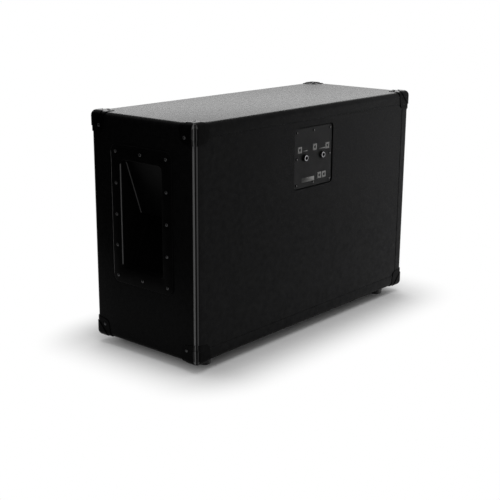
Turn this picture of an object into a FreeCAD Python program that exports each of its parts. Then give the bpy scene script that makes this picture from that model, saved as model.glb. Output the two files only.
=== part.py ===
"""Closed-back guitar speaker cabinet with two 12 inch drivers.

Millimetres, +Z up, +X to the right seen from the front, front towards -Y.
The origin is on the floor, under the middle of the cabinet.
"""
import FreeCAD
import Part
import math
import os
from typing import NamedTuple


class Fastener(NamedTuple):
    """The sizes of a screw or bolt."""
    head_radius: float
    head_height: float
    shank_radius: float
    length: float


# Cabinet over its covering, standing on its feet: its width follows from the drivers
CABINET_DEPTH = 305.0
CABINET_HEIGHT = 500.0
EDGE_RADIUS = 11.0
COVERING = 0.8
SEAM_INSET = 28.0
SEAM_GAP = 0.6

# Plywood carcass
BOARD = 18.0
FINGERS = 9
REAR_BOARD = 15.0
BAFFLE_BOARD = 18.0
BAFFLE_SETBACK = 26.0
BATTEN = 20.0
BRACE_BOARD = 18.0
BRACE_TOP_GAP = 20.0

# Grille
GRILLE_SETBACK = 6.0
GRILLE_SIDE_GAP = 1.2
CLOTH = 0.8
RAIL_DEPTH = 12.0
RAIL_WIDTH = 28.0
PAD_WIDTH = 24.0
PAD_HEIGHT = 34.0
PAD_CLEARANCE = 0.3

# Recessed side handles
HANDLE_WIDTH = 180.0
HANDLE_HEIGHT = 302.0
HANDLE_DROP = 212.0
HANDLE_FLANGE = 3.5
HANDLE_CORNER = 16.0
HANDLE_EDGE = 1.5
HANDLE_WALL = 3.0
HANDLE_SIDE_RIM = 29.5
HANDLE_END_RIM = 32.5
RECESS_CORNER = 9.0
GRIP_TOP_DEPTH = 15.0
GRIP_TIP_DEPTH = 57.0
GRIP_TIP_DROP = 123.0
GRIP_THICKNESS = 3.6
POCKET_DEPTH = 88.0
POCKET_RISE = 43.0
POCKET_MOUTH = 37.0
POCKET_SILL = 14.0
RAMP_TOP_DEPTH = 66.0
RAMP_FOOT_DEPTH = 31.0
HANDLE_CUT_CLEARANCE = 1.5
HANDLE_TUCK = 6.0
HANDLE_SCREW_ROWS = 5
HANDLE_SCREW_INSET = 15.5

# Corner protectors
CORNER_LEG = 42.0
CORNER_LOBE = 12.0
CORNER_SCREW_INSET = 27.0
CORNER_FLAP = 1.8
CORNER_CAP = 1.6
CORNER_CAP_REACH = 34.0
CORNER_SEAT = 0.2

# Rubber feet
FOOT_HEIGHT = 20.0
FOOT_TOP_RADIUS = 16.0
FOOT_TIP_RADIUS = 14.0
FOOT_SIDE_INSET = 60.0
FOOT_END_INSET = 34.0
FOOT_WELL_RADIUS = 8.0
FOOT_WELL_DEPTH = 10.0

# Jack plate and its two 6.35 mm jacks
PLATE_WIDTH = 138.0
PLATE_HEIGHT = 134.0
PLATE_THICKNESS = 2.0
PLATE_CORNER = 8.0
PLATE_DROP = 112.0
PLATE_SINK = 2.3
PLATE_GAP = 2.0
PLATE_LEDGE = 17.0
PLATE_SCREW_INSET = 8.0
JACK_SPACING = 63.0
JACK_BORE = 3.25
JACK_BUSH_RADIUS = 5.0
JACK_BUSH_STAND = 5.2
JACK_HOLE_CLEARANCE = 0.2
JACK_COLLAR_RADIUS = 8.5
JACK_COLLAR_HEIGHT = 1.5
JACK_NUT_RADIUS = 6.8
JACK_HOUSING = 18.0
JACK_HOUSING_DEPTH = 24.0
JACK_FRONT_WALL = 3.0
JACK_WAY = 4.2
JACK_SLOT_WIDTH = 5.0
SPRING_WIDTH = 4.0
SPRING_THICKNESS = 0.5
SPRING_LIFT = 5.6
SPRING_BITE = 1.0
SPRING_LUG = 6.0

# Drivers: depths count back from the baffle's front face
DRIVER_RADIUS = 154.5
DRIVER_SIDE_GAP = 38.2
DRIVER_MIDDLE_GAP = 43.0
DRIVER_BOLTS = 4
DRIVER_BOLT_INSET = 6.0
DRIVER_SEAT = 12.5
BASKET_SHEET = 2.0
BASKET_FLANGE = 18.5
BASKET_RIM_DEPTH = 12.0
BASKET_SPOKES = 6
BASKET_SPOKE_WIDTH = 26.0
SHELF_OUTER = 78.0
SHELF_INNER = 62.0
SHELF_DEPTH = 80.0
BASKET_DEPTH = 98.0
TOP_PLATE_RADIUS = 60.0
TOP_PLATE_THICKNESS = 8.0
MAGNET_RADIUS = 66.0
MAGNET_HOLE = 36.0
MAGNET_THICKNESS = 18.0
YOKE_THICKNESS = 8.0
POLE_RADIUS = 21.0
COIL_WALL = 0.8
COIL_GAP = 0.8
COIL_REACH = 3.0
CONE_PAPER = 0.8
CONE_RIM_DEPTH = 4.0
CONE_NECK_DEPTH = 62.0
SUSPENSION_CLEARANCE = 0.3
SURROUND_GLUE = 6.5
SURROUND_WIDTH = 12.0
SURROUND_ROLL = 4.0
SPIDER_RADIUS = 75.0
SPIDER_FOLD = 3.0
DUST_CAP_RADIUS = 40.0
DUST_CAP_RISE = 12.0
GASKET_THICKNESS = 2.2
TERMINAL_LENGTH = 30.0
TERMINAL_THICKNESS = 3.0
TERMINAL_TAB = 8.0

# Twin flex from each jack to its driver
FLEX_WIDTH = 5.0
FLEX_THICKNESS = 2.4
FLEX_BEND = 30.0
FLEX_LEAD = 30.0

# Fasteners
HANDLE_SCREW = Fastener(head_radius=3.6, head_height=2.0, shank_radius=1.7, length=16.0)
CORNER_SCREW = Fastener(head_radius=3.6, head_height=1.8, shank_radius=1.7, length=14.0)
PLATE_SCREW = Fastener(head_radius=3.2, head_height=1.6, shank_radius=1.5, length=12.0)
FOOT_SCREW = Fastener(head_radius=6.0, head_height=3.0, shank_radius=2.2, length=22.0)
DRIVER_BOLT = Fastener(head_radius=4.6, head_height=3.0, shank_radius=2.4, length=20.0)
SCREW_CLEARANCE = 0.25

# Flats that stand in for rounds, which keep the model light
EASE_FLATS = 4
HEAD_SIDES = 6
SHANK_SIDES = 4
SMALL_SIDES = 12
DRIVER_SIDES = 18

# Places worked out from the sizes above
FLOOR = FOOT_HEIGHT
TOP = FLOOR + CABINET_HEIGHT
MIDDLE = FLOOR + CABINET_HEIGHT / 2
DRIVER_OFFSET = DRIVER_MIDDLE_GAP / 2 + DRIVER_RADIUS
INNER_HALF_WIDTH = DRIVER_OFFSET + DRIVER_RADIUS + DRIVER_SIDE_GAP
HALF_WIDTH = INNER_HALF_WIDTH + BOARD + COVERING
FRONT = -CABINET_DEPTH / 2
REAR = CABINET_DEPTH / 2
INNER_FLOOR = FLOOR + COVERING + BOARD
INNER_TOP = TOP - COVERING - BOARD
BAFFLE_FRONT = FRONT + BAFFLE_SETBACK
BAFFLE_BACK = BAFFLE_FRONT + BAFFLE_BOARD
REAR_FACE = REAR - COVERING
REAR_INSIDE = REAR_FACE - REAR_BOARD
PLATE_Z = TOP - PLATE_DROP
PLATE_FACE = REAR - PLATE_SINK
PLATE_BACK = PLATE_FACE - PLATE_THICKNESS
HANDLE_Z = TOP - HANDLE_DROP
RECESS_WIDTH = HANDLE_WIDTH - 2 * HANDLE_SIDE_RIM
RECESS_HEIGHT = HANDLE_HEIGHT - 2 * HANDLE_END_RIM
DRIVER_CUT_RADIUS = DRIVER_RADIUS - DRIVER_SEAT
DRIVER_BOLT_CIRCLE = DRIVER_RADIUS - DRIVER_BOLT_INSET
BASKET_MOUTH = DRIVER_RADIUS - BASKET_FLANGE
SURROUND_LIP = BASKET_MOUTH + SURROUND_GLUE
CONE_RADIUS = BASKET_MOUTH - SURROUND_WIDTH
COIL_INNER = POLE_RADIUS + COIL_GAP
COIL_OUTER = COIL_INNER + COIL_WALL
TOP_PLATE_HOLE = COIL_OUTER + COIL_GAP
SIDES = {"left": -1, "right": 1}


def vec(x, y, z):
    """A point or direction."""
    return FreeCAD.Vector(x, y, z)


def box(x0, x1, y0, y1, z0, z1):
    """A box between two corners."""
    return Part.makeBox(x1 - x0, y1 - y0, z1 - z0, vec(x0, y0, z0))


def sheet(corners):
    """A flat face inside a closed line of corners."""
    return Part.Face(Part.makePolygon(corners + corners[:1]))


def eased(x0, x1, y0, y1, radius):
    """A rectangle's outline as (x, y) corners, each corner eased by flats inside a round of the radius."""
    outline = []
    centres = ((x1, y1, -1, -1), (x0, y1, 1, -1), (x0, y0, 1, 1), (x1, y0, -1, 1))
    for quarter, (x, y, to_x, to_y) in enumerate(centres):
        for i in range(EASE_FLATS + 1):
            turn = math.pi / 2 * (quarter + i / EASE_FLATS)
            at_x = x + to_x * radius + radius * math.cos(turn)
            at_y = y + to_y * radius + radius * math.sin(turn)
            outline.append((at_x, at_y))
    return outline


def eased_block(x0, x1, y0, y1, z0, z1, radius):
    """A box with all its edges eased."""
    level = sheet([vec(x, y, z0) for x, y in eased(x0, x1, y0, y1, radius)])
    front = sheet([vec(x, y0, z) for x, z in eased(x0, x1, z0, z1, radius)])
    side = sheet([vec(x0, y, z) for y, z in eased(y0, y1, z0, z1, radius)])
    block = level.extrude(vec(0, 0, z1 - z0)).common(front.extrude(vec(0, y1 - y0, 0)))
    return block.common(side.extrude(vec(x1 - x0, 0, 0)))


def cabinet_block(inset):
    """The cabinet's outer form, or a form inset from it."""
    return eased_block(
        -HALF_WIDTH + inset, HALF_WIDTH - inset, FRONT + inset, REAR - inset, FLOOR + inset, TOP - inset,
        EDGE_RADIUS - inset,
    )


def eased_slab(width, height, thickness, radius):
    """A slab on the XY plane, centred, rising along +Z, with its four upright edges eased."""
    outline = eased(-width / 2, width / 2, -height / 2, height / 2, radius)
    return sheet([vec(x, y, 0) for x, y in outline]).extrude(vec(0, 0, thickness))


def prism(sides, radius, z0, z1):
    """A regular prism around +Z whose flats touch the radius."""
    reach = radius / math.cos(math.pi / sides)
    turns = [2 * math.pi * (i + 0.5) / sides for i in range(sides)]
    corners = [vec(reach * math.cos(t), reach * math.sin(t), z0) for t in turns]
    return sheet(corners).extrude(vec(0, 0, z1 - z0))


def stand(shape, origin, outward):
    """A copy of a shape made along +Z, turned so that +Z points outward, and moved to origin."""
    turned_shape = shape.copy()
    turned_shape.Placement = FreeCAD.Placement(origin, FreeCAD.Rotation(vec(0, 0, 1), outward))
    return turned_shape


def face_out(shape, origin, side):
    """A copy of a shape made on XY, stood on a side face: its X runs along Y and its Y along Z."""
    placed = shape.copy()
    turn = FreeCAD.Rotation(vec(0, side, 0), vec(0, 0, 1), vec(side, 0, 0), "ZXY")
    placed.Placement = FreeCAD.Placement(origin, turn)
    return placed


def turned(profile, sides):
    """A ring or disc around +Z with flat sides, from the (radius, height) corners of its section."""
    turns = [2 * math.pi * i / sides for i in range(sides)]
    loops = [[vec(r * math.cos(t), r * math.sin(t), h) for r, h in profile] for t in turns]
    faces = []
    for here, there in zip(loops, loops[1:] + loops[:1]):
        for j, k in zip(range(len(profile)), list(range(1, len(profile))) + [0]):
            quad = [here[j], here[k], there[k], there[j]]
            corners = [p for i, p in enumerate(quad) if not p.isEqual(quad[i - 1], 1e-6)]
            if len(corners) > 2:
                faces.append(sheet(corners))
    return Part.Solid(Part.Shell(faces))


def driver_turned(profile, x):
    """A turned driver piece whose heights count back from the baffle's front face."""
    return stand(turned(profile, DRIVER_SIDES), vec(x, BAFFLE_FRONT, MIDDLE), vec(0, 1, 0))


def screw(size):
    """A screw along +Z with the underside of its head at zero."""
    head = prism(HEAD_SIDES, size.head_radius, 0, size.head_height)
    return head.fuse(prism(SHANK_SIDES, size.shank_radius, -size.length, 0))


def screw_hole(size, depth):
    """A clearance hole for a screw's shank, from just outside the seat down to a depth."""
    return prism(SHANK_SIDES, size.shank_radius + SCREW_CLEARANCE, -depth, SCREW_CLEARANCE)


def drill(shape, size, depth, seats):
    """A shape with a clearance hole under each (point, outward) seat."""
    holes = [stand(screw_hole(size, depth), point, outward) for point, outward in seats]
    return shape.cut(holes)


def screws_on(size, seats):
    """One separate screw on each (point, outward) seat."""
    return Part.makeCompound([stand(screw(size), point, outward) for point, outward in seats])


def handle_opening(x0, x1, grow):
    """The hole for a handle's tub through a side wall, from x0 to x1."""
    width = RECESS_WIDTH + 2 * HANDLE_WALL + 2 * grow
    height = RECESS_HEIGHT + 2 * HANDLE_WALL + 2 * grow
    return box(x0, x1, -width / 2, width / 2, HANDLE_Z - height / 2, HANDLE_Z + height / 2)


def carcass_boards():
    """Four finger-jointed boards, rounded together along their outer edges."""
    across = HALF_WIDTH - COVERING
    room = box(-INNER_HALF_WIDTH, INNER_HALF_WIDTH, FRONT, REAR, INNER_FLOOR, INNER_TOP)
    ring = cabinet_block(COVERING).cut(room)
    finger = (CABINET_DEPTH - 2 * COVERING) / FINGERS
    start = FRONT + COVERING
    spans = [(start + i * finger, start + (i + 1) * finger) for i in range(FINGERS)]

    def comb(half_width_in, z0, z1, picked):
        blocks = []
        for x0, x1 in ((-across, -half_width_in), (half_width_in, across)):
            blocks += [box(x0, x1, y0, y1, z0, z1) for y0, y1 in picked]
        return blocks

    boards = {}
    levels = {"bottom_panel": (FLOOR + COVERING, INNER_FLOOR), "top_panel": (INNER_TOP, TOP - COVERING)}
    for name, (z0, z1) in levels.items():
        slab = box(-across, across, FRONT, REAR, z0, z1)
        boards[name] = ring.common(slab).cut(comb(INNER_HALF_WIDTH, z0, z1, spans[1::2]))
    for name, side in SIDES.items():
        near, far = sorted((side * INNER_HALF_WIDTH, side * across))
        slab = box(near, far, FRONT, REAR, FLOOR, TOP)
        panel = ring.common(slab)
        for z0, z1 in levels.values():
            panel = panel.cut(comb(INNER_HALF_WIDTH, z0, z1, spans[0::2]))
        boards[name + "_side_panel"] = panel.cut(handle_opening(near, far, HANDLE_CUT_CLEARANCE))
    return boards


def inner_boards():
    """Rear panel with the jack plate's rebate, baffle with the driver holes, battens and brace."""
    rebate_width = PLATE_WIDTH + 2 * PLATE_GAP
    rebate_height = PLATE_HEIGHT + 2 * PLATE_GAP
    rebate = eased_slab(rebate_width, rebate_height, REAR - PLATE_BACK, PLATE_CORNER + PLATE_GAP)
    window = box(
        -PLATE_WIDTH / 2 + PLATE_LEDGE, PLATE_WIDTH / 2 - PLATE_LEDGE, REAR_INSIDE, REAR,
        PLATE_Z - PLATE_HEIGHT / 2 + PLATE_LEDGE, PLATE_Z + PLATE_HEIGHT / 2 - PLATE_LEDGE,
    )
    rear = box(-INNER_HALF_WIDTH, INNER_HALF_WIDTH, REAR_INSIDE, REAR_FACE, INNER_FLOOR, INNER_TOP)
    rear = rear.cut([stand(rebate, vec(0, PLATE_BACK, PLATE_Z), vec(0, 1, 0)), window])

    baffle = box(-INNER_HALF_WIDTH, INNER_HALF_WIDTH, BAFFLE_FRONT, BAFFLE_BACK, INNER_FLOOR, INNER_TOP)
    for side in SIDES.values():
        hole = prism(DRIVER_SIDES, DRIVER_CUT_RADIUS, 0, BAFFLE_BOARD)
        baffle = baffle.cut(stand(hole, vec(side * DRIVER_OFFSET, BAFFLE_FRONT, MIDDLE), vec(0, 1, 0)))

    battens = []
    for y0 in (BAFFLE_BACK, REAR_INSIDE - BATTEN):
        for z0 in (INNER_FLOOR, INNER_TOP - BATTEN):
            battens.append(box(-INNER_HALF_WIDTH, INNER_HALF_WIDTH, y0, y0 + BATTEN, z0, z0 + BATTEN))
        for side in SIDES.values():
            x0, x1 = sorted((side * INNER_HALF_WIDTH, side * (INNER_HALF_WIDTH - BATTEN)))
            battens.append(box(x0, x1, y0, y0 + BATTEN, INNER_FLOOR + BATTEN, INNER_TOP - BATTEN))

    brace_top = PLATE_Z - PLATE_HEIGHT / 2 - BRACE_TOP_GAP
    brace = box(
        -BRACE_BOARD / 2, BRACE_BOARD / 2, BAFFLE_BACK, REAR_INSIDE, INNER_FLOOR + BATTEN, brace_top
    )
    return {
        "rear_panel": rear,
        "baffle_board": drill(baffle, DRIVER_BOLT, DRIVER_BOLT.length, driver_bolt_seats(0)),
        "battens": Part.makeCompound(battens),
        "centre_brace": brace,
    }


def mouth(front):
    """The front opening inside its lining, from a depth in front back to the baffle."""
    return box(
        -INNER_HALF_WIDTH + COVERING, INNER_HALF_WIDTH - COVERING, front, BAFFLE_FRONT,
        INNER_FLOOR + COVERING, INNER_TOP - COVERING,
    )


def coverings():
    """Vinyl over the shell, folded into the mouth and round onto the back, and the back's own sheet."""
    skin = cabinet_block(0).cut(cabinet_block(COVERING))
    lining = box(
        -INNER_HALF_WIDTH, INNER_HALF_WIDTH, FRONT + COVERING, BAFFLE_FRONT, INNER_FLOOR, INNER_TOP
    )
    back = box(
        -HALF_WIDTH + SEAM_INSET, HALF_WIDTH - SEAM_INSET, REAR_FACE, REAR,
        FLOOR + SEAM_INSET, TOP - SEAM_INSET,
    )
    shell = skin.fuse(lining).cut([mouth(FRONT), back])
    tuck = (HANDLE_WIDTH - RECESS_WIDTH) / 2 - HANDLE_WALL - HANDLE_TUCK
    for side in SIDES.values():
        x0, x1 = sorted((side * (HALF_WIDTH - COVERING), side * HALF_WIDTH))
        shell = shell.cut(handle_opening(x0, x1, tuck))

    back_sheet = box(
        -HALF_WIDTH + SEAM_INSET + SEAM_GAP, HALF_WIDTH - SEAM_INSET - SEAM_GAP, REAR_FACE, REAR,
        FLOOR + SEAM_INSET + SEAM_GAP, TOP - SEAM_INSET - SEAM_GAP,
    )
    hole = eased_slab(
        PLATE_WIDTH + 2 * PLATE_GAP, PLATE_HEIGHT + 2 * PLATE_GAP, COVERING, PLATE_CORNER + PLATE_GAP
    )
    back_sheet = back_sheet.cut(stand(hole, vec(0, REAR_FACE, PLATE_Z), vec(0, 1, 0)))
    return {"shell_covering": shell, "rear_covering": back_sheet}


def grille():
    """Rails of the grille frame, the cloth stretched over them and the pads that hold the frame."""
    half_width = INNER_HALF_WIDTH - COVERING - GRILLE_SIDE_GAP
    low = INNER_FLOOR + COVERING + GRILLE_SIDE_GAP
    high = INNER_TOP - COVERING - GRILLE_SIDE_GAP
    face = FRONT + GRILLE_SETBACK
    back = face + CLOTH + RAIL_DEPTH
    around = box(-half_width, half_width, face, back, low, high)
    inside_half = half_width - CLOTH
    inside_low = low + CLOTH
    inside_high = high - CLOTH
    room = box(-inside_half, inside_half, face + CLOTH, back, inside_low, inside_high)
    rails = [
        box(-inside_half, inside_half, face + CLOTH, back, inside_low, inside_low + RAIL_WIDTH),
        box(-inside_half, inside_half, face + CLOTH, back, inside_high - RAIL_WIDTH, inside_high),
    ]
    stile_low = inside_low + RAIL_WIDTH
    stile_high = inside_high - RAIL_WIDTH
    for x0 in (-inside_half, -RAIL_WIDTH / 2, inside_half - RAIL_WIDTH):
        rails.append(box(x0, x0 + RAIL_WIDTH, face + CLOTH, back, stile_low, stile_high))
    pads = []
    edge_x = inside_half - RAIL_WIDTH / 2
    rows = (inside_low + RAIL_WIDTH / 2 + PAD_WIDTH / 2, inside_high - RAIL_WIDTH / 2 - PAD_WIDTH / 2)
    places = [(x, z) for x in (-edge_x, 0, edge_x) for z in rows] + [(-edge_x, MIDDLE), (edge_x, MIDDLE)]
    for x, z in places:
        pads.append(
            box(
                x - PAD_WIDTH / 2, x + PAD_WIDTH / 2, back + PAD_CLEARANCE, BAFFLE_FRONT,
                z - PAD_HEIGHT / 2, z + PAD_HEIGHT / 2,
            )
        )
    return {
        "grille_frame": Part.makeCompound(rails),
        "grille_cloth": around.cut(room),
        "grille_pads": Part.makeCompound(pads),
    }


def handle_profile(grow):
    """The handle's hollow in (depth, height) from its middle, or the tub's outside where grow is the wall."""
    half = RECESS_HEIGHT / 2 + grow
    slope = math.atan2(GRIP_TIP_DEPTH - GRIP_TOP_DEPTH, GRIP_TIP_DROP)
    run = math.tan(slope)
    tip = RECESS_HEIGHT / 2 - GRIP_TIP_DROP
    roof = tip + POCKET_RISE + grow
    sill = tip - POCKET_MOUTH
    behind = GRIP_THICKNESS / math.cos(slope)

    def grip(height, offset):
        return GRIP_TIP_DEPTH - (height - tip) * run + offset

    if grow:
        wall = grow / math.cos(slope)
        upper = [(0, half), (grip(half, wall), half), (grip(roof, wall), roof)]
    else:
        upper = [(-HANDLE_FLANGE, half), (GRIP_TOP_DEPTH, half), (GRIP_TIP_DEPTH, tip)]
        upper += [(GRIP_TIP_DEPTH + behind, tip), (grip(roof, behind), roof)]
    ramp = (RAMP_TOP_DEPTH - RAMP_FOOT_DEPTH) / (half - grow + sill)
    foot = RAMP_FOOT_DEPTH + grow - ramp * grow
    lower = [
        (POCKET_DEPTH + grow, roof),
        (POCKET_DEPTH + grow, sill + POCKET_SILL - grow),
        (RAMP_TOP_DEPTH + grow, sill - grow),
        (foot, -half),
        (0 if grow else -HANDLE_FLANGE, -half),
    ]
    return upper + lower


def handle(side):
    """A moulded handle: a flange on the side wall and a tub with a slanted grip over a finger pocket."""
    face = side * (HALF_WIDTH + HANDLE_FLANGE)
    inward = -side

    def swept(grow, width):
        corners = [vec(face + inward * d, -width / 2, HANDLE_Z + h) for d, h in handle_profile(grow)]
        return sheet(corners).extrude(vec(0, width, 0))

    plate = eased_slab(HANDLE_WIDTH, HANDLE_HEIGHT, HANDLE_FLANGE, HANDLE_CORNER)
    rim = [e for e in plate.Edges if e.BoundBox.ZMin > HANDLE_FLANGE / 2]
    plate = face_out(plate.makeChamfer(HANDLE_EDGE, rim), vec(side * HALF_WIDTH, 0, HANDLE_Z), side)
    deep = POCKET_DEPTH + HANDLE_FLANGE + HANDLE_WALL
    well = eased_slab(RECESS_WIDTH, RECESS_HEIGHT, 2 * deep, RECESS_CORNER)
    well = face_out(well, vec(face - side * deep, 0, HANDLE_Z), side)
    tub = swept(HANDLE_WALL, RECESS_WIDTH + 2 * HANDLE_WALL)
    hollow = swept(0, RECESS_WIDTH).common(well)
    body = plate.fuse(tub).cut(hollow)
    return drill(body, HANDLE_SCREW, HANDLE_FLANGE, handle_seats(side))


def handle_seats(side):
    """Screw seats on one handle: two columns, and one in the middle of the top and bottom."""
    column = HANDLE_WIDTH / 2 - HANDLE_SCREW_INSET
    reach = HANDLE_HEIGHT / 2 - HANDLE_SCREW_INSET
    pitch = 2 * reach / (HANDLE_SCREW_ROWS - 1)
    places = [(y, -reach + i * pitch) for y in (-column, column) for i in range(HANDLE_SCREW_ROWS)]
    places += [(0, -reach), (0, reach)]
    x = side * (HALF_WIDTH + HANDLE_FLANGE)
    return [(vec(x, y, HANDLE_Z + z), vec(side, 0, 0)) for y, z in places]


def corner_seats(lift):
    """Screw seats on all corner protectors: one on each side flap and one on each top or bottom flap."""
    seats = []
    for side in SIDES.values():
        for y in (FRONT + CORNER_SCREW_INSET, REAR - CORNER_SCREW_INSET):
            for z, flat, up in ((FLOOR, FLOOR - lift, -1), (TOP, TOP + lift, 1)):
                level = z - up * CORNER_SCREW_INSET
                seats.append((vec(side * (HALF_WIDTH + lift), y, level), vec(side, 0, 0)))
                across = side * (HALF_WIDTH - CORNER_SCREW_INSET)
                seats.append((vec(across, y, flat), vec(0, 0, up)))
    return seats


def corner_outline():
    """One flap's outline on XY, with the cabinet's corner at zero and a round lobe around the screw."""
    at = CORNER_SCREW_INSET
    lobe = CORNER_LOBE
    away = CORNER_FLAP + CORNER_CAP + CORNER_SEAT
    gap = math.hypot(CORNER_LEG - at, at)
    turn = math.atan2(-at, CORNER_LEG - at) + math.acos(lobe / gap)
    sweep = (math.pi / 2 - 2 * turn) / EASE_FLATS
    around = [turn + i * sweep for i in range(EASE_FLATS + 1)]
    outline = [(0, CORNER_LEG), (-away, CORNER_LEG), (-away, -away), (CORNER_LEG, -away), (CORNER_LEG, 0)]
    outline += [(at + lobe * math.cos(t), at + lobe * math.sin(t)) for t in around]
    return sheet([vec(x, y, 0) for x, y in outline])


def corner_protector():
    """A protector for the corner at the origin of a block that fills the positive octant."""
    size = 2 * CORNER_LEG
    away = CORNER_FLAP + CORNER_CAP + CORNER_SEAT
    outline = corner_outline()

    def block(grow):
        return eased_block(-grow, size, -grow, size, -grow, size, EDGE_RADIUS + grow)

    prisms = []
    for angle in (0, 120, 240):
        flap = outline.extrude(vec(0, 0, size + away))
        flap.translate(vec(0, 0, -away))
        flap.rotate(vec(0, 0, 0), vec(1, 1, 1), angle)
        prisms.append(flap)
    region = prisms[0].common(prisms[1]).common(prisms[2])
    outward = vec(-1, -1, -1).normalize()
    span = sheet([vec(size, 0, 0), vec(0, size, 0), vec(0, 0, size)])
    span.translate(outward * ((size - CORNER_CAP_REACH) / math.sqrt(3)))
    cap = block(away).common(span.extrude(outward * size))
    return region.common(block(CORNER_SEAT + CORNER_FLAP).fuse(cap)).cut(block(CORNER_SEAT))


def corner_protectors():
    """The protector mirrored into all eight corners and drilled; the front four leave the mouth free."""
    pattern = corner_protector()
    groups = {"front_corner_protectors": [], "rear_corner_protectors": []}
    for side in SIDES.values():
        for group, (y, back) in zip(groups, ((FRONT, -1), (REAR, 1))):
            for z, up in ((FLOOR, -1), (TOP, 1)):
                piece = pattern.copy()
                for sign, normal in ((side, vec(1, 0, 0)), (back, vec(0, 1, 0)), (up, vec(0, 0, 1))):
                    if sign > 0:
                        piece = piece.mirror(vec(0, 0, 0), normal)
                piece.translate(vec(side * HALF_WIDTH, y, z))
                groups[group].append(piece.cut(mouth(FRONT - CORNER_LEG)))
    seats = corner_seats(CORNER_SEAT + CORNER_FLAP)
    depth = CORNER_FLAP + CORNER_SEAT
    return {
        name: drill(Part.makeCompound(pieces), CORNER_SCREW, depth, seats) for name, pieces in groups.items()
    }


def foot_seats():
    """Screw seats in the wells of the feet, facing the floor."""
    xs = (-HALF_WIDTH + FOOT_SIDE_INSET, HALF_WIDTH - FOOT_SIDE_INSET)
    ys = (FRONT + FOOT_END_INSET, REAR - FOOT_END_INSET)
    return [(vec(x, y, FOOT_WELL_DEPTH), vec(0, 0, -1)) for x in xs for y in ys]


def feet():
    """Four tapered rubber feet with a well for the screw, by name."""
    profile = [
        (FOOT_WELL_RADIUS, 0), (FOOT_TIP_RADIUS, 0), (FOOT_TOP_RADIUS, FOOT_HEIGHT), (0, FOOT_HEIGHT),
        (0, FOOT_WELL_DEPTH), (FOOT_WELL_RADIUS, FOOT_WELL_DEPTH),
    ]
    taper = turned(profile, SMALL_SIDES)
    names = ("left_front_foot", "left_rear_foot", "right_front_foot", "right_rear_foot")
    made = {}
    for name, (point, outward) in zip(names, foot_seats()):
        foot = taper.copy()
        foot.translate(vec(point.x, point.y, 0))
        made[name] = drill(foot, FOOT_SCREW, FOOT_SCREW.length, [(point, outward)])
    return made


def plate_seats():
    """Screw seats on the jack plate: three by three without the middle."""
    reach_x = PLATE_WIDTH / 2 - PLATE_SCREW_INSET
    reach_z = PLATE_HEIGHT / 2 - PLATE_SCREW_INSET
    places = [(x, z) for x in (-reach_x, 0, reach_x) for z in (-reach_z, 0, reach_z) if x or z]
    return [(vec(x, PLATE_FACE, PLATE_Z + z), vec(0, 1, 0)) for x, z in places]


def jack_places():
    """The two jacks' axes at the plate's outer face."""
    return {name: vec(side * JACK_SPACING / 2, PLATE_FACE, PLATE_Z) for name, side in SIDES.items()}


def jack_plate():
    """The plate with its two jack holes and its screw holes."""
    plate = stand(
        eased_slab(PLATE_WIDTH, PLATE_HEIGHT, PLATE_THICKNESS, PLATE_CORNER),
        vec(0, PLATE_BACK, PLATE_Z), vec(0, 1, 0),
    )
    hole = prism(SMALL_SIDES, JACK_BUSH_RADIUS + JACK_HOLE_CLEARANCE, 0, PLATE_THICKNESS)
    for place in jack_places().values():
        plate = plate.cut(stand(hole, place, vec(0, -1, 0)))
    return drill(plate, PLATE_SCREW, PLATE_THICKNESS, plate_seats())


def jack_body(place):
    """A jack's housing behind the plate with its threaded bush through the plate."""
    half = JACK_HOUSING / 2
    back = PLATE_BACK - JACK_HOUSING_DEPTH
    housing = box(place.x - half, place.x + half, back, PLATE_BACK, place.z - half, place.z + half)
    bush_length = PLATE_FACE + JACK_BUSH_STAND - PLATE_BACK
    seat = vec(place.x, PLATE_BACK, place.z)
    bush = stand(prism(SMALL_SIDES, JACK_BUSH_RADIUS, 0, bush_length), seat, vec(0, 1, 0))
    bore = Part.makeCylinder(JACK_BORE, bush_length, seat, vec(0, 1, 0))
    way = stand(prism(HEAD_SIDES, JACK_WAY, 0, JACK_HOUSING_DEPTH), seat, vec(0, -1, 0))
    slot = box(
        place.x - JACK_SLOT_WIDTH / 2, place.x + JACK_SLOT_WIDTH / 2, back, PLATE_BACK - JACK_FRONT_WALL,
        place.z, place.z + half,
    )
    return housing.fuse(bush).cut([bore, way, slot])


def jack_spring(place):
    """A leaf along the plug's way with a bent tip that bites on the plug, and a solder lug behind."""
    back = PLATE_BACK - JACK_HOUSING_DEPTH
    root = back - SPRING_LUG
    tip = PLATE_BACK - JACK_HOUSING_DEPTH / 2
    bite = JACK_BORE - SPRING_BITE
    t = SPRING_THICKNESS
    line = [(root, SPRING_LIFT), (tip - SPRING_LUG, SPRING_LIFT), (tip, bite)]
    line.append((tip + SPRING_LUG / 2, SPRING_LIFT))
    outline = line + [(y, z + t) for y, z in reversed(line)]
    x = place.x - SPRING_WIDTH / 2
    corners = [vec(x, y, place.z + z) for y, z in outline]
    return sheet(corners).extrude(vec(SPRING_WIDTH, 0, 0))


def jack_rings():
    """Collars against the plate and the nuts over them."""
    hole = JACK_BUSH_RADIUS + JACK_HOLE_CLEARANCE
    stand_off = JACK_COLLAR_HEIGHT
    collars = []
    nuts = []
    for place in jack_places().values():
        bush = prism(SMALL_SIDES, hole, 0, JACK_BUSH_STAND)
        collar = prism(SMALL_SIDES, JACK_COLLAR_RADIUS, 0, stand_off).cut(bush)
        collars.append(stand(collar, place, vec(0, 1, 0)))
        nut = prism(HEAD_SIDES, JACK_NUT_RADIUS, stand_off, JACK_BUSH_STAND).cut(bush)
        nuts.append(stand(nut, place, vec(0, 1, 0)))
    return {"jack_collars": Part.makeCompound(collars), "jack_nuts": Part.makeCompound(nuts)}


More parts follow.
